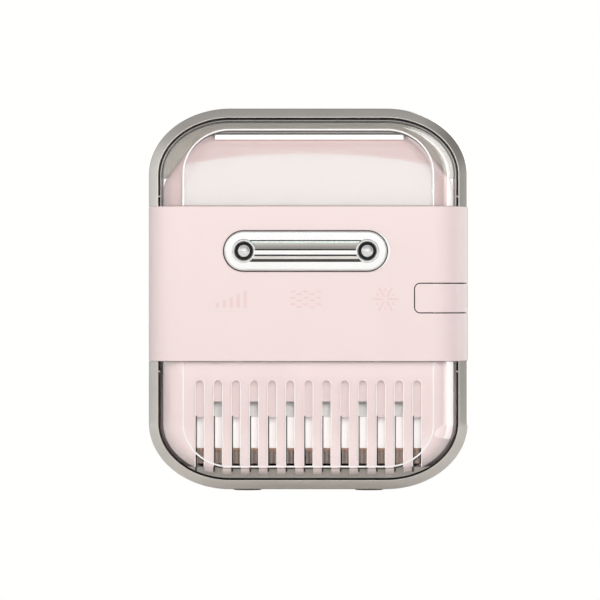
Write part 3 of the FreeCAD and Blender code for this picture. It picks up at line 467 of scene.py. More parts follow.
def hood():
    outer = cover_sections(0, HOOD_ROUND)
    inner = cover_sections(CLEAR_WALL, HOOD_ROUND)
    outer += [(COVER_INSET, TRIM_REAR - 0.6 * MM), (COVER_INSET - 0.6 * MM, TRIM_REAR)]
    outer += [(0.8 * MM, TRIM_REAR), (0, TRIM_REAR + 0.8 * MM)]
    inner += [(COVER_INSET + CLEAR_WALL, TRIM_REAR + WALL - 0.6 * MM)]
    inner += [(COVER_INSET + 1.4 * MM, TRIM_REAR + WALL)]
    inner += [(WALL + 0.8 * MM, TRIM_REAR + WALL), (WALL, TRIM_REAR + WALL + 0.8 * MM)]
    outer += quarter((0, SHELL_REAR - REAR_ROUND), (REAR_ROUND, SHELL_REAR))
    inner += quarter((WALL, SHELL_REAR - REAR_ROUND), (REAR_ROUND, SHELL_REAR - WALL))
    shell = hollow(outer, inner, HOOD_CUT, TOP)
    pin_low, pin_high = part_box("hinge_pins")
    notches = [slab(side * HINGE_X - 8 * MM, side * HINGE_X + 8 * MM, SHELL_REAR - 20 * MM,
                    SHELL_REAR + 20 * MM, HOOD_CUT - 20 * MM, pin_high.z + 4.9 * MM) for side in (-1, 1)]
    cut_piece("hood_shell", shell, notches, CLEAR, "hood", "hood", bevel=0.35 * MM)
    centre = (0, (pin_low.y + pin_high.y) / 2, (pin_low.z + pin_high.z) / 2)
    knuckles = []
    for side in (-1, 1):
        for offset in (-13, 13):
            start = side * HINGE_X + offset * MM - 5 * MM
            stop = start + 10 * MM
            profile = [(1.65 * MM, start), (3.2 * MM, start), (3.2 * MM, stop), (1.65 * MM, stop)]
            knuckles.append(lathe(turned(profile, 0.4 * MM), centre, "X", 32))
    make("hood_knuckles", merged(knuckles), CHROME, "hood", slot="chrome_trim")


def trim_section(front, rear):
    """A rim that slopes outwards from its inner edge, with rounded arrises."""
    slope = 4.2 * MM
    return [(0, rear), (0, front + slope + 1.0 * MM), (0.25 * MM, front + slope + 0.35 * MM),
            (0.8 * MM, front + slope - 0.3 * MM), (TRIM_WIDTH - 1.2 * MM, front + 0.15 * MM),
            (TRIM_WIDTH - 0.6 * MM, front + 0.05 * MM), (TRIM_WIDTH - 0.15 * MM, front + 0.3 * MM),
            (TRIM_WIDTH, front + 0.9 * MM), (TRIM_WIDTH, rear)]


def trims():
    for name, body, cut, end in (("hood_trim", "hood", HOOD_CUT, TOP),
                                 ("base_trim", "root", BASE_CUT, BOTTOM)):
        make(name + "_rim", bead(trim_section(TRIM_FRONT, TRIM_REAR), cut, end), SATIN_CHROME, body, name,
             smooth=50)
    seal_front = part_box("hood_seal")[0].y
    inner, outer = COVER_INSET - 0.1 * MM, TRIM_WIDTH + 0.1 * MM
    section = [(outer, TRIM_REAR), (outer, seal_front + 0.4 * MM), (outer + 0.4 * MM, seal_front),
               (inner - 0.4 * MM, seal_front), (inner, seal_front + 0.4 * MM), (inner, TRIM_REAR)]
    for name, body, cut, end in (("hood_seal", "hood", HOOD_CUT, TOP),
                                 ("base_seal", "root", BASE_CUT, BOTTOM)):
        make(name + "_strip", bead(section, cut, end), SEAL, body, name)
    lining = [(COVER_INSET + 0.2 * MM, TRIM_REAR - 0.2 * MM), (COVER_INSET + 0.2 * MM, TRIM_REAR - 1.4 * MM),
              (COVER_INSET + 2.3 * MM, TRIM_REAR - 1.4 * MM), (COVER_INSET + 2.3 * MM, TRIM_REAR - 0.2 * MM)]
    bezel_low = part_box("hood_bezel")[0].z
    make("bezel_lining", bead(lining, bezel_low, TOP), BEZEL, "hood", slot="grey_bezel")
    front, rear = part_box("hood_bezel")[0].y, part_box("hood_bezel")[1].y
    plate = relief([arch(COVER_INSET + CLEAR_WALL + 0.1 * MM, y, bezel_low, TOP) for y in (front, rear)])
    deck = relief([deck_arch(-0.35 * MM, y) for y in (front - 5 * MM, rear + 5 * MM)])
    cut_piece("bezel_plate", plate, [deck], BEZEL, "hood", "hood_bezel", bevel=0.3 * MM)
    make("base_lining", bead(lining, BASE_CUT, BOTTOM), PINK_SATIN, "root", slot="pink_shell")
    near, far = HALF_W - lining[2][0], HALF_W - lining[0][0]
    flanks = [slab(a, b, lining[1][1], lining[0][1], HOOD_CUT, bezel_low - 0.1 * MM)
              for a, b in ((-far, -near), (near, far))]
    make("hood_lining", merged(flanks), PINK_SATIN, "hood", slot="pink_shell")
    # Each clear cover gets two beads along the crease of its face: a white one, a painted highlight, and a
    # dark edge_shade one beside it, a painted shade line.
    for name, body, cut, end, end_round, shade in (
            ("hood", "hood", HOOD_CUT, TOP, HOOD_ROUND, 1.5 * MM),
            ("lower", "root", BASE_CUT, BOTTOM, BASE_ROUND, -1.4 * MM)):
        side, reach = COVER_INSET + COVER_ROUND, COVER_INSET + end_round
        for kind, material, slot, shift, depth, radius in (
                ("edge", EDGE_HIGHLIGHT_WHITE, "clear_cover", 0, 0.8 * MM, 0.7 * MM),
                ("edge_shade", SEAL, "dark_seal", shade, 1.2 * MM, 0.5 * MM)):
            section = [((side + radius * math.cos(a), reach + shift + radius * math.cos(a)),
                        COVER_FRONT + CLEAR_WALL + depth + radius * math.sin(a))
                       for a in [2 * math.pi * k / 12 for k in range(12)]]
            make(name + "_" + kind, bead(section, cut, end), material, body, slot=slot, smooth=60)


# ---------------------------------------------------------------- bowl carrier

SHOULDER_X, SHOULDER_Z, SHOULDER_R = 84 * MM, 241 * MM, 20 * MM


def deck_arch(inset, y):
    """The carrier's outline moved inwards: upright sides, sloping shoulders and a flat top."""
    half, top = DECK_HIGH.x - inset, LAMP_HIGH.z - inset
    run, rise = DECK_HIGH.x - SHOULDER_X, LAMP_HIGH.z - SHOULDER_Z
    length = math.hypot(run, rise)
    nx, nz = rise / length, run / length
    reach = nx * DECK_HIGH.x + nz * SHOULDER_Z - inset
    corners = [(half, DECK_LOW_Z), (half, (reach - nx * half) / nz), ((reach - nz * top) / nx, top), (0, top)]
    radius = SHOULDER_R - inset
    points = [corners[0], (half, DECK_LOW_Z + (corners[1][1] - DECK_LOW_Z) / 3)]
    for before, here, after in zip(corners, corners[1:], corners[2:]):
        b, h, a = Vector(before), Vector(here), Vector(after)
        into, out = (b - h).normalized(), (a - h).normalized()
        half_angle = into.angle(out) / 2
        centre = h + (into + out).normalized() * (radius / math.sin(half_angle))
        start = h + into * (radius / math.tan(half_angle)) - centre
        stop = h + out * (radius / math.tan(half_angle)) - centre
        first, last = math.atan2(start.y, start.x), math.atan2(stop.y, stop.x)
        for k in range(11):
            angle = first + (last - first) * k / 10
            points.append((centre.x + radius * math.cos(angle), centre.y + radius * math.sin(angle)))
    points.append(corners[-1])
    mirrored = [(-x, z) for x, z in reversed(points[:-1])]
    return [Vector((x, y, z)) for x, z in points + mirrored]


DECK_LOW_Z = HOOD_CUT
DECK_FRONT_Y = DECK_LOW.y
DECK_REAR_Y = DECK_FRONT_Y + 241 * MM
LAMP_DROP = 1.6 * MM     # the strip is drawn this much lower than its solid
BOWL_X, BOWL_Y = (BOWL_LOW.x + BOWL_HIGH.x) / 2, (BOWL_LOW.y + BOWL_HIGH.y) / 2


def carrier():
    bm = bmesh.new()
    sections = list(reversed(quarter((0, DECK_FRONT_Y + 16.3 * MM), (16.3 * MM, DECK_FRONT_Y), 14)))
    sections += quarter((0, DECK_REAR_Y - 1.5 * MM), (1.5 * MM, DECK_REAR_Y), 4)
    rings = skin(bm, [deck_arch(i, y) for i, y in sections])
    for a, b in zip(rings, rings[1:]):
        bm.faces.new((a[0], b[0], b[-1], a[-1]))
    bm.faces.new(rings[0])
    bm.faces.new(rings[-1])
    rim_z = LAMP_HIGH.z
    well = lathe([(0, DECK_LOW_Z - 5 * MM), (71.5 * MM, DECK_LOW_Z - 5 * MM), (71.5 * MM, rim_z - 2.5 * MM),
                  (75.5 * MM, rim_z - 2.5 * MM), (75.5 * MM, rim_z + 5 * MM), (0, rim_z + 5 * MM)],
                 (BOWL_X, BOWL_Y, 0), steps=128)
    notch = slab(LAMP_LOW.x, LAMP_HIGH.x, DECK_FRONT_Y - 5 * MM, LAMP_HIGH.y, LAMP_LOW.z - LAMP_DROP,
                 rim_z + 5 * MM)
    cut_piece("carrier_shell", bm, [well, notch], PINK_DECK, "carrier", "bowl_carrier", bevel=0.4 * MM)
    guides = []
    for x in (-95 * MM, 95 * MM):
        for y in (-108 * MM, 95 * MM):
            profile = [(0, DECK_LOW.z), (4 * MM, DECK_LOW.z), (4 * MM, DECK_LOW_Z + 1 * MM)]
            guides.append(lathe(turned(profile, 0.8 * MM), (x, y, 0), steps=24))
    make("carrier_guides", merged(guides), PINK_SATIN, "carrier", slot="pink_shell")
    arms = []
    bracket_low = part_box("hinge_brackets")[0]
    for side in (-1, 1):
        arms.append(slab(side * HINGE_X - 7 * MM, side * HINGE_X + 7 * MM, DECK_REAR_Y - 1 * MM, DECK_HIGH.y,
                         bracket_low.z - 2.8 * MM, bracket_low.z + 5.2 * MM))
    make("carrier_arms", merged(arms), PINK_SATIN, "carrier", slot="pink_shell", bevel=0.6 * MM)


def lamp():
    """An opal strip along the carrier's front top edge, with a dark seat above it."""
    front, rear = DECK_FRONT_Y + 0.6 * MM, LAMP_HIGH.y - 0.1 * MM
    low, high = LAMP_LOW.z - LAMP_DROP + 0.05 * MM, LAMP_HIGH.z - 1.2 * MM
    strip = slab(LAMP_LOW.x + 0.1 * MM, LAMP_HIGH.x - 0.1 * MM, front, rear, low, high)
    make("lamp_strip", strip, LAMP, "carrier", "lamp_diffuser", bevel=0.5 * MM)
    seat = slab(LAMP_LOW.x - 3 * MM, LAMP_HIGH.x + 3 * MM, front + 2.5 * MM, rear,
                high + 0.05 * MM, LAMP_HIGH.z)
    make("lamp_seat", seat, SEAL, "carrier", slot="dark_seal", bevel=0.2 * MM)


def bowl():
    floor, rim = BOWL_LOW.z, BOWL_HIGH.z
    profile = [(8.3 * MM, floor), (62 * MM, floor)]
    profile += [(64 * MM + 6 * MM * math.sin(a), floor + 6 * MM - 6 * MM * math.cos(a))
                for a in [math.pi / 2 * k / 8 for k in range(9)]]
    profile += [(70 * MM, rim - 1.9 * MM), (70.6 * MM, rim - 1.6 * MM), (74.2 * MM, rim - 1.6 * MM),
                (74.8 * MM, rim - 1.1 * MM), (74.7 * MM, rim - 0.4 * MM), (74.2 * MM, rim), (70.2 * MM, rim),
                (69.0 * MM, rim - 0.5 * MM), (68.5 * MM, rim - 1.8 * MM), (68.5 * MM, floor + 6 * MM)]
    profile += [(64 * MM + 4.5 * MM * math.cos(a), floor + 6 * MM - 4.5 * MM * math.sin(a))
                for a in [math.pi / 2 * k / 8 for k in range(1, 9)]]
    profile += [(13 * MM, floor + 1.5 * MM), (11.6 * MM, floor + 2 * MM), (11 * MM, floor + 3.4 * MM),
                (11 * MM, floor + 45 * MM), (10.4 * MM, floor + 46 * MM), (8.9 * MM, floor + 46 * MM),
                (8.3 * MM, floor + 45.4 * MM), (8.3 * MM, floor)]
    make("bowl_shell", lathe(profile, (BOWL_X, BOWL_Y, 0), steps=128), BOWL_METAL, "carrier", "bowl",
         smooth=50)


# ---------------------------------------------------------------- band, console and key

def band_loop(inset, z):
    points = stadium(-HALF_W + inset, HALF_W - inset, BAND_LOW.y + inset, BAND_HIGH.y - inset,
                     BAND_CORNER - inset, steps=20)
    return [Vector((x, y, z)) for x, y in points]


def sleeve(low, high, edge):
    """A closed sleeve round the body, with its outer edges rounded."""
    section = [(WALL, low), (edge, low), (edge * 0.3, low + edge * 0.3), (0, low + edge),
               (0, high - edge), (edge * 0.3, high - edge * 0.3), (edge, high), (WALL, high)]
    bm = bmesh.new()
    loops = [band_loop(i, z) for i, z in section]
    rings = [[bm.verts.new(p) for p in loop] for loop in loops]
    for a, b in zip(rings, rings[1:] + rings[:1]):
        for k in range(len(a)):
            bm.faces.new((a[k], a[(k + 1) % len(a)], b[(k + 1) % len(a)], b[k]))
    return bm


KEY_X, KEY_Z0, KEY_Z1 = KEY_LOW.x, KEY_LOW.z + 3 * MM, KEY_HIGH.z - 3 * MM


def tab(gap):
    """The outline of the side key, grown by a gap, as a solid that runs through the front right corner."""
    loop = stadium(KEY_X - gap, HALF_W + 30 * MM, KEY_Z0 - gap, KEY_Z1 + gap, 4.6 * MM + gap)
    return relief([[Vector((x, y, z)) for x, z in loop] for y in (BAND_LOW.y - 5 * MM, BAND_LOW.y + 35 * MM)])


def band():
    gap = 0.45 * MM
    window = tab(gap)
    side = slab(HALF_W - 15 * MM, HALF_W + 10 * MM, BAND_LOW.y + 30 * MM, KEY_HIGH.y + 2.6 * MM,
                KEY_Z0 - 0.4 * MM, KEY_Z1 + 0.4 * MM)
    cut_piece("band_sleeve", sleeve(BAND_LOW.z, BAND_HIGH.z, 0.9 * MM), [window, side], PINK, "root", "band")
    key = sleeve(KEY_Z0 - 5 * MM, KEY_Z1 + 5 * MM, 0.3 * MM)
    outline = stadium(KEY_X + gap, HALF_W + 30 * MM, KEY_Z0 + gap, KEY_Z1 - gap, 4 * MM)
    reach = relief([[Vector((x, y, z)) for x, z in outline] for y in (BAND_LOW.y - 5 * MM, KEY_HIGH.y)])
    cut_piece("key_shell", key, [reach], PINK, "side_key", "side_key", operation="INTERSECT")
    inside = BAND_LOW.y + WALL
    rim = 2.6 * MM
    # A dark frame behind the band round the key: painted shade that darkens the gap round the key.
    flange = raised(KEY_X - rim, HALF_W - BAND_CORNER, KEY_Z0 - rim, KEY_Z1 + rim, 3 * MM, inside + 1.4 * MM,
                    inside + 0.2 * MM, 0.3 * MM)
    make("key_flange", flange, SEAL, "side_key", slot="dark_seal")


def moulding(name, profile, ends, cutters, material):
    """A straight moulding on the console: profile is a list of (z, height) from top to bottom."""
    face = PLATE_LOW.y
    bm = bmesh.new()
    closed = [(profile[0][0], 0)] + profile + [(profile[-1][0], 0)]
    rings = skin(bm, [[Vector((x, face - height, z)) for z, height in closed] for x in ends])
    for ring in rings:
        bm.faces.new(ring)
    bm.faces.new((rings[0][0], rings[0][-1], rings[1][-1], rings[1][0]))
    obj = cut_piece(name, bm, cutters, material, "root", smooth=30)


def console():
    x0, x1, z0, z1 = PLATE_LOW.x, PLATE_HIGH.x, PLATE_LOW.z, PLATE_HIGH.z
    face, back = PLATE_LOW.y, PLATE_HIGH.y
    round_end = (z1 - z0) / 2 - 0.01 * MM
    shift, grow, inset, trim = 2.3 * MM, 0.3 * MM, 0.55 * MM, 1.15 * MM
    plate = raised(x0 + inset, x1 - inset, z0 + trim, z1 - trim, round_end - trim, back, face, 1.3 * MM, 8)
    centres = []
    for name in ("button_left", "button_right"):
        low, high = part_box(name)
        middle = Vector(((low.x + high.x) / 2, 0, (low.z + high.z) / 2))
        centres.append(middle)
        lip = [(7.3 * MM, face + 0.5 * MM), (7.35 * MM, face - 0.9 * MM), (7.7 * MM, face - 1.4 * MM),
               (8.3 * MM, face - 1.62 * MM), (8.9 * MM, face - 1.4 * MM), (9.3 * MM, face - 0.7 * MM),
               (9.4 * MM, face + 0.2 * MM)]
        make(name + "_lip", lathe(turned(lip, 0.5 * MM), middle, "Y"), CHROME, "root", slot="chrome_trim",
             smooth=60)
        radius, rise = 5.0 * MM, 2.6 * MM
        dome = [(radius * math.sin(a), low.y + rise * (1 - math.cos(a))) for a in
                [math.pi / 2 * k / 12 for k in range(13)]]
        dome.append((radius, low.y + rise + 0.3 * MM))
        make(name + "_dome", lathe(dome, middle, "Y"), CHROME, name, name, smooth=60)
        skirt = [(radius - 0.3 * MM, low.y + 2.7 * MM), (6.9 * MM, low.y + 2.3 * MM),
                 (6.9 * MM, high.y - 5.2 * MM), (3.8 * MM, high.y - 5.2 * MM), (3.8 * MM, high.y),
                 (0, high.y)]
        make(name + "_skirt", lathe(turned(skirt, 0.2 * MM), middle, "Y"), BLACK, name, slot="black_plastic")

    stud_hole, lip_hole = 7.4 * MM, 8.4 * MM

    def around_studs(radius):
        start, stop = face - 9 * MM, face + 8 * MM
        profile = [(0, start), (radius, start), (radius, stop), (0, stop)]
        return [lathe(profile, middle, "Y", 64) for middle in centres]

    cut_piece("console_face", plate, around_studs(stud_hole), CHROME, "root", "console_plate")
    flange = raised(x0 + shift, x1 + shift, z0 + trim, z1 - trim, round_end - trim, back, back - 0.4 * MM,
                    0.2 * MM)
    cut_piece("console_flange", flange, around_studs(stud_hole), CHROME, "root")
    gasket = raised(x0 - grow, x1 + grow, z0 + grow, z1 - grow, round_end - grow, back, back - 0.9 * MM,
                    0.3 * MM)
    cut_piece("console_gasket", gasket, around_studs(stud_hole), SEAL, "root")
    low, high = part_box("console_bar")
    ends = (centres[0].x + 4 * MM, centres[1].x - 4 * MM)
    inlay = raised(ends[0], ends[1], low.z - 0.1 * MM, high.z + 0.1 * MM, 1.5 * MM, face, face - 0.12 * MM,
                   0.05 * MM)
    cut_piece("console_inlay", inlay, around_studs(lip_hole), SEAL, "root", "console_bar")
    top = high.z - 0.75 * MM
    cove = [(top, 0.12), (top - 0.15 * MM, 0.25)]
    cove += [(top - (0.15 + 6.0 * k / 12) * MM, 0.25 + 1.3 * (k / 12) ** 2.4) for k in range(1, 13)]
    stripe = [(top - 7.2 * MM, 1.45), (top - 7.35 * MM, 1.6), (top - 10.3 * MM, 1.6), (top - 10.5 * MM, 1.45)]
    step = [(top - 11.7 * MM, 0.75), (top - 11.9 * MM, 0.9), (top - 13.8 * MM, 0.75), (top - 14.0 * MM, 0.6)]
    # The cove takes the darker chrome copy, painted shade along the top of the bar.
    for name, profile, material in (("console_cove", cove, CHROME_SHADED_COPY), ("console_stripe", stripe, CHROME),
                                    ("console_step", step, SATIN_CHROME)):
        moulding(name, [(z, height * MM) for z, height in profile], ends, around_studs(lip_hole), material)


# ---------------------------------------------------------------- lower front

SLOTS = 13
SLOT_PITCH, SLOT_WIDTH, SLOT_TOP = 14.1 * MM, 7 * MM, 87.6 * MM
SLOT_X = [(k - (SLOTS - 1) / 2) * SLOT_PITCH for k in range(SLOTS)]
COVER_FLAT_LOW = BOTTOM + COVER_INSET + BASE_ROUND


def slot_cutter(width, y0, y1):
    top = SLOT_TOP + (width - SLOT_WIDTH) / 2
    parts = []
    for x in SLOT_X:
        loop = stadium(x - width / 2, x + width / 2, -30 * MM, top, width / 2 - 0.01 * MM, steps=10)
        parts.append(relief([[Vector((a, y, b)) for a, b in loop] for y in (y0, y1)]))
    return merged(parts)


def slot_rim(x, half, radius):
    """A white bead painted as the highlight round one slot: up its left side, over the round top and down its
    right side.
    """
    low, top = COVER_FLAT_LOW, SLOT_TOP - half
    path = [(x - half, low + (top - low) * k / 2) for k in range(2)]
    path += [(x - half * math.cos(a), top + half * math.sin(a))
             for a in [math.pi * k / 14 for k in range(15)]]
    path += [(x + half, low + (top - low) * k / 2) for k in (1, 0)]
    rings = []
    for before, here, after in zip([path[0]] + path, path, path[1:] + [path[-1]]):
        along = Vector((after[0] - before[0], after[1] - before[1])).normalized()
        across = Vector((along.y, -along.x))
        ring = []
        for k in range(8):
            a = 2 * math.pi * k / 8
            reach = radius * math.cos(a)
            ring.append(Vector((here[0] + across.x * reach, COVER_FRONT + 0.25 * MM + radius * math.sin(a),
                                here[1] + across.y * reach)))
        rings.append(ring)
    return relief(rings)


def lower_front():
    """Clear cover and pink fascia with the same slots, white beads painted as highlights round the slot edges
    and a dark strip of painted shade in each slot.
    """
    sill_low, sill_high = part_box("front_sill")
    gap = 0.3 * MM
    layers = (("lower_cover_shell", "lower_cover", CLEAR, 0.0, CLEAR_WALL, SLOT_WIDTH),
              ("fascia_shell", "lower_fascia", PINK_FRONT, CLEAR_WALL + 0.4 * MM, 2.6 * MM, 7.6 * MM))
    for name, replaced, material, depth, wall, width in layers:
        outer = cover_sections(depth, BASE_ROUND) + [(COVER_INSET + depth, TRIM_REAR)]
        inner = cover_sections(depth + wall, BASE_ROUND) + [(COVER_INSET + depth + wall, TRIM_REAR)]
        shell = hollow(outer, inner, BASE_CUT, BOTTOM, cap_rear=False)
        room = slab(-HALF_W, HALF_W, sill_low.y - gap, TRIM_REAR + 5 * MM, -5 * MM, sill_high.z + gap)
        edge = 0.35 * MM if material is CLEAR else 0.7 * MM
        cut_piece(name, shell, [slot_cutter(width, COVER_FRONT - 5 * MM, TRIM_FRONT), room], material, "root",
                  replaced, bevel=edge)
    rims = [slot_rim(x, SLOT_WIDTH / 2, 0.3 * MM) for x in SLOT_X]
    make("slot_rims", merged(rims), EDGE_HIGHLIGHT_WHITE, "root", slot="clear_cover", smooth=60)
    front = COVER_FRONT + CLEAR_WALL + 3.2 * MM
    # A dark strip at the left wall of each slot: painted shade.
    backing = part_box("slot_backing")[0]
    shade_strips = [slab(x - 3.7 * MM, x - 2.3 * MM, front, backing.y - 0.2 * MM, 16 * MM, backing.z + 1 * MM)
             for x in SLOT_X]
    make("slot_vanes", merged(shade_strips), SEAL, "root", slot="dark_seal", bevel=0.1 * MM)


def shroud():
    """The panel behind the slots: white below, with a painted glow, and a darker grey copy above, painted
    shade under the slot backing.
    """
    low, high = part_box("shroud_panel")
    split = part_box("slot_backing")[0].z
    make("shroud_white", raised(low.x, high.x, low.z, split, 2 * MM, high.y, low.y, 0.5 * MM), SHROUD_GLOW_WHITE, "root",
         "shroud_panel")
    upper = raised(low.x, high.x, split + 0.05 * MM, high.z, 2 * MM, high.y, low.y, 0.5 * MM)
    make("shroud_grey", upper, SHROUD_SHADE_GREY, "root", slot="white_plastic")


def condenser():
    low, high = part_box("condenser")
    pitch = 1.05 * MM
    count = int((high.x - low.x + 3 * MM) / pitch)
    fins = []
    for k in range(count):
        x = (k - (count - 1) / 2) * pitch
        fins.append(slab(x - 0.17 * MM, x + 0.17 * MM, low.y, high.y, low.z, high.z))
    make("condenser_fins", merged(fins), FIN_METAL_GLOW, "root", "condenser")
    tubes = []
    for z in (34, 46, 58, 70):
        profile = [(0, low.x), (3 * MM, low.x), (3 * MM, high.x), (0, high.x)]
        tubes.append(lathe(profile, (0, (low.y + high.y) / 2, z * MM), "X", 20))
    make("condenser_tubes", merged(tubes), COPPER, "root", slot="copper_pipe")


# ---------------------------------------------------------------- housing, feet and rear

def housing():
    outer = [(0.5 * MM, TRIM_REAR), (0, TRIM_REAR + 0.5 * MM)]
    outer += quarter((0, SHELL_REAR - REAR_ROUND), (REAR_ROUND, SHELL_REAR))
    inner = [(WALL - 0.4 * MM, TRIM_REAR), (WALL, TRIM_REAR + 0.4 * MM)]
    inner += quarter((WALL, SHELL_REAR - REAR_ROUND), (REAR_ROUND, SHELL_REAR - WALL))
    shell = hollow(outer, inner, BASE_CUT, BOTTOM, cap_front=False)
    panel_low, panel_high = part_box("rear_cover")
    opening = stadium(panel_low.x + 2.5 * MM, panel_high.x - 2.5 * MM, panel_low.z + 2 * MM,
                      panel_high.z - 3 * MM, 6 * MM)
    window = relief([[Vector((x, y, z)) for x, z in opening]
                     for y in (SHELL_REAR - 14 * MM, SHELL_REAR + 9 * MM)])
    inlet_low, inlet_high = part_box("power_inlet")
    socket = slab(inlet_low.x - 0.1 * MM, inlet_high.x + 0.1 * MM, SHELL_REAR - 20 * MM, SHELL_REAR + 9 * MM,
                  inlet_low.z - 0.1 * MM, inlet_high.z + 0.1 * MM)
    cut_piece("housing_shell", shell, [window, socket], PINK, "root", "lower_housing", bevel=0.3 * MM)


# ---------------------------------------------------------------- generic marks

def marks():
    """Three generic printed symbols: level bars, waves and a star of ice."""
    face = BAND_LOW.y
    z = (BAND_LOW.z + BAND_HIGH.z) / 2 - 12.0 * MM
    line = 1.6 * MM
    strokes = []

    def stroke(a, b, width):
        along = (b - a).normalized()
        across = Vector((-along.y, along.x)) * width / 2
        corners = [a - across, b - across, b + across, a + across]
        depths = (face + 0.2 * MM, face - 0.06 * MM)
        strokes.append(relief([[Vector((p.x, y, p.y)) for p in corners] for y in depths]))

    for k in range(5):
        x = -60 * MM + (k - 2) * 5.4 * MM
        foot = z - 6.5 * MM
        stroke(Vector((x, foot)), Vector((x, foot + (3.4 + 2.4 * k) * MM)), 2.6 * MM)
    for row in (-5, 0, 5):
        for k in range(5):
            middle = Vector((-2 * MM + (k - 2) * 5.0 * MM, z + (row + 1.0 * (-1) ** k) * MM))
            stroke(middle - Vector((2.1 * MM, 0)), middle + Vector((2.1 * MM, 0)), line)
    centre = Vector((60 * MM, z))
    for k in range(6):
        arm = Vector((math.cos(math.pi / 3 * k), math.sin(math.pi / 3 * k)))
        tick = Vector((math.cos(math.pi / 3 * (k + 0.5)), math.sin(math.pi / 3 * (k + 0.5))))
        stroke(centre + arm * 2.0 * MM, centre + arm * 10.4 * MM, line)
        stroke(centre + tick * 6.2 * MM, centre + tick * 8.4 * MM, line)
    make("band_marks", merged(strokes), MARK, "root", slot="pink_shell")


# ---------------------------------------------------------------- everything that keeps its CAD shape

def dress_frame():
    for name, obj in frame["nodes"].items():
        material = NODE_FINISH.get(name, SLOT_FINISH[SLOT[name]])
        if not obj.material_slots:
            obj.data.materials.append(material)
        for slot in obj.material_slots:
            slot.link = "OBJECT"
            slot.material = material


# ---------------------------------------------------------------- studio

def area(name, place, target, size, radiance, glossy=True, diffuse=True):
    """A rectangular lamp of a given brightness, which may light surfaces or only show in their gloss."""
    data = bpy.data.lights.new(name, "AREA")
    data.shape = "RECTANGLE"
    data.size, data.size_y = size
    data.energy = radiance * math.pi * size[0] * size[1]
    lamp = bpy.data.objects.new(name, data)
    lamp.location = place
    lamp.rotation_euler = (Vector(target) - Vector(place)).to_track_quat("-Z", "Y").to_euler()
    lamp.visible_glossy = glossy
    lamp.visible_diffuse = diffuse
    bpy.context.scene.collection.objects.link(lamp)
    return lamp


def grey_ramp(tree, value, stops):
    """Grey levels along one direction, from -1 to 1."""
    span = tree.nodes.new("ShaderNodeMapRange")
    span.inputs["From Min"].default_value = -1
    tree.links.new(value, span.inputs["Value"])
    ramp = tree.nodes.new("ShaderNodeValToRGB")
    elements = ramp.color_ramp.elements
    while len(elements) < len(stops):
        elements.new(0.5)
    for element, (where, grey) in zip(elements, stops):
        element.position = (where + 1) / 2
        element.color = (grey, grey, grey, 1)
    tree.links.new(span.outputs["Result"], ramp.inputs["Fac"])
    return ramp.outputs["Color"]


# Grey levels of the room along each axis, as (direction from -1 to 1, level).
ROOM_ACROSS = [(-1.0, 0.85), (-0.85, 1.15), (-0.5, 0.92), (0.0, 1.0), (0.35, 0.98), (0.7, 0.5), (0.88, 0.4),
               (1.0, 0.7)]
ROOM_UP = [(-1.0, 0.5), (-0.7, 0.6), (-0.3, 0.9), (0.0, 1.0), (0.12, 1.0), (0.35, 0.8), (0.6, 0.6),
           (0.87, 0.55), (1.0, 0.5)]
ROOM_BACK = [(-1.0, 1.0), (-0.8, 0.9), (-0.3, 0.72), (0.4, 0.62), (1.0, 0.62)]
ROOM_LIGHT = 1.05
PAPER = (1.0, 1.0, 0.985, 1)
VIEW_WIDTH, VIEW_X, VIEW_DROP = 0.4703, -6.5 * MM, 0.9 * MM
LENS, SENSOR = 300, 36


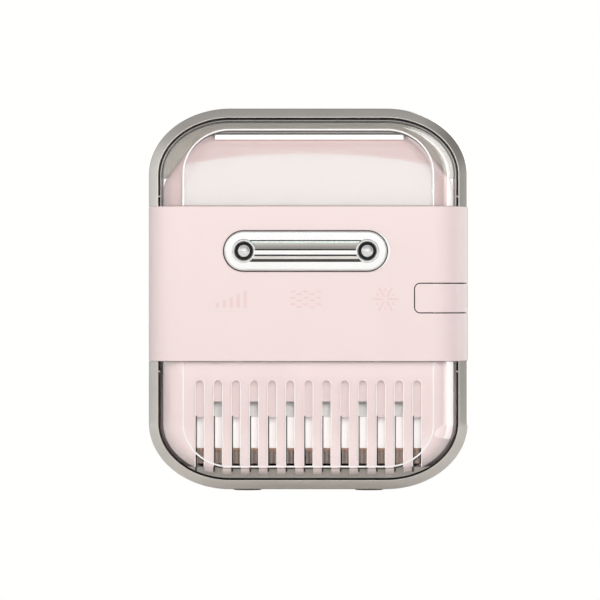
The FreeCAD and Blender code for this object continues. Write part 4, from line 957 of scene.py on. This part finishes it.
def studio():
    scene = bpy.context.scene
    scene.view_settings.view_transform = "Standard"

    world = bpy.data.worlds.new("studio")
    scene.world = world
    world.use_nodes = True
    tree = world.node_tree
    room = tree.nodes["Background"]
    place = tree.nodes.new("ShaderNodeTexCoord")
    split = tree.nodes.new("ShaderNodeSeparateXYZ")
    tree.links.new(place.outputs["Generated"], split.inputs["Vector"])
    total = None
    for axis, stops in (("X", ROOM_ACROSS), ("Z", ROOM_UP), ("Y", ROOM_BACK)):
        grey = grey_ramp(tree, split.outputs[axis], stops)
        if total is None:
            total = grey
            continue
        mix = tree.nodes.new("ShaderNodeMix")
        mix.data_type = "RGBA"
        mix.blend_type = "MULTIPLY"
        mix.inputs["Factor"].default_value = 1.0
        tree.links.new(total, mix.inputs["A"])
        tree.links.new(grey, mix.inputs["B"])
        total = mix.outputs["Result"]
    tree.links.new(total, room.inputs["Color"])
    room.inputs["Strength"].default_value = ROOM_LIGHT
    paper = tree.nodes.new("ShaderNodeBackground")
    paper.inputs["Color"].default_value = PAPER
    backdrop(tree, room.outputs["Background"], paper.outputs["Background"],
             tree.nodes["World Output"].inputs["Surface"])

    bm = bmesh.new()
    bmesh.ops.create_grid(bm, x_segments=1, y_segments=1, size=6)
    mesh = bpy.data.meshes.new("floor")
    bm.to_mesh(mesh)
    bm.free()
    floor = bpy.data.objects.new("floor", mesh)
    scene.collection.objects.link(floor)
    white = finish("floor_white", (0.82, 0.82, 0.81), 0.9, spread=0.01, scale=3.0, bump=0.0)
    glow = white.node_tree.nodes.new("ShaderNodeEmission")
    glow.inputs["Color"].default_value = PAPER
    nodes = white.node_tree.nodes
    backdrop(white.node_tree, nodes["Principled BSDF"].outputs["BSDF"], glow.outputs["Emission"],
             nodes["Material Output"].inputs["Surface"])
    mesh.materials.append(white)

    soft_box()
    area("strip_right", (1.0, 0.42, 1.5), (0, 0.05, 1.5), (1.35, 3.0), 1.8, diffuse=False)
    side = area("strip_side", (1.12, -0.42, 0.9), (0, 0, 0.9), (0.6, 1.8), 3.0, diffuse=False)
    low = area("floor_right", (0.75, 0.1, 0.004), (0.75, 0.1, 1.0), (1.1, 1.7), 1.5, diffuse=False)
    # These last two show only in the clear covers, as the white line down their right edge.
    covers = bpy.data.collections.new("clear_pieces")
    for name in ("hood_shell", "lower_cover_shell"):
        covers.objects.link(bpy.data.objects[name])
    for lamp in (side, low):
        lamp.light_linking.receiver_collection = covers
    area("fill_left", (-1.2, -0.6, 0.4), (0, 0, 0.15), (1.0, 1.0), 1.2, glossy=False)
    area("key_front", (0.25, -1.6, 0.95), (0, 0, 0.15), (1.1, 0.8), 6.2, glossy=False)

    data = bpy.data.cameras.new("camera")
    data.lens = LENS
    data.sensor_width = SENSOR
    distance = VIEW_WIDTH * LENS / SENSOR
    camera = bpy.data.objects.new("camera", data)
    camera.location = (VIEW_X, TRIM_FRONT + 3 * MM - distance, (TOP + BOTTOM) / 2 - VIEW_DROP)
    camera.rotation_euler = (math.radians(90), 0, 0)
    scene.collection.objects.link(camera)
    scene.camera = camera


def soft_box():
    """A tinted soft box above the line of sight: it draws the white field in the face of the hood."""
    y, middle, low, half_w, half_h = -1.44, 0.2435, 0.2478, 0.21, 0.059
    bm = bmesh.new()
    steps = 40
    arc = [math.pi * k / steps for k in range(1, steps)]
    points = [(half_w * math.cos(a), max(low, middle + half_h * math.sin(a))) for a in arc]
    bm.faces.new([bm.verts.new((x, y, z)) for x, z in [(half_w, low)] + points + [(-half_w, low)]])
    mesh = bpy.data.meshes.new("soft_box")
    bm.to_mesh(mesh)
    bm.free()
    box = bpy.data.objects.new("soft_box", mesh)
    box.visible_camera = False
    bpy.context.scene.collection.objects.link(box)
    glow = finish("soft_box_light", (0.7, 1.0, 0.99), 0.9, spread=0.01, bump=0.0, emission=2.9)
    mesh.materials.append(glow)


def backdrop(tree, lit, plain, target):
    """The eye sees plain white paper; every other ray meets the lit room."""
    path = tree.nodes.new("ShaderNodeLightPath")
    mix = tree.nodes.new("ShaderNodeMixShader")
    tree.links.new(path.outputs["Is Camera Ray"], mix.inputs["Fac"])
    tree.links.new(lit, mix.inputs[1])
    tree.links.new(plain, mix.inputs[2])
    tree.links.new(mix.outputs["Shader"], target)


dress_frame()
hood()
trims()
carrier()
lamp()
bowl()
band()
console()
lower_front()
shroud()
condenser()
housing()
marks()
studio()
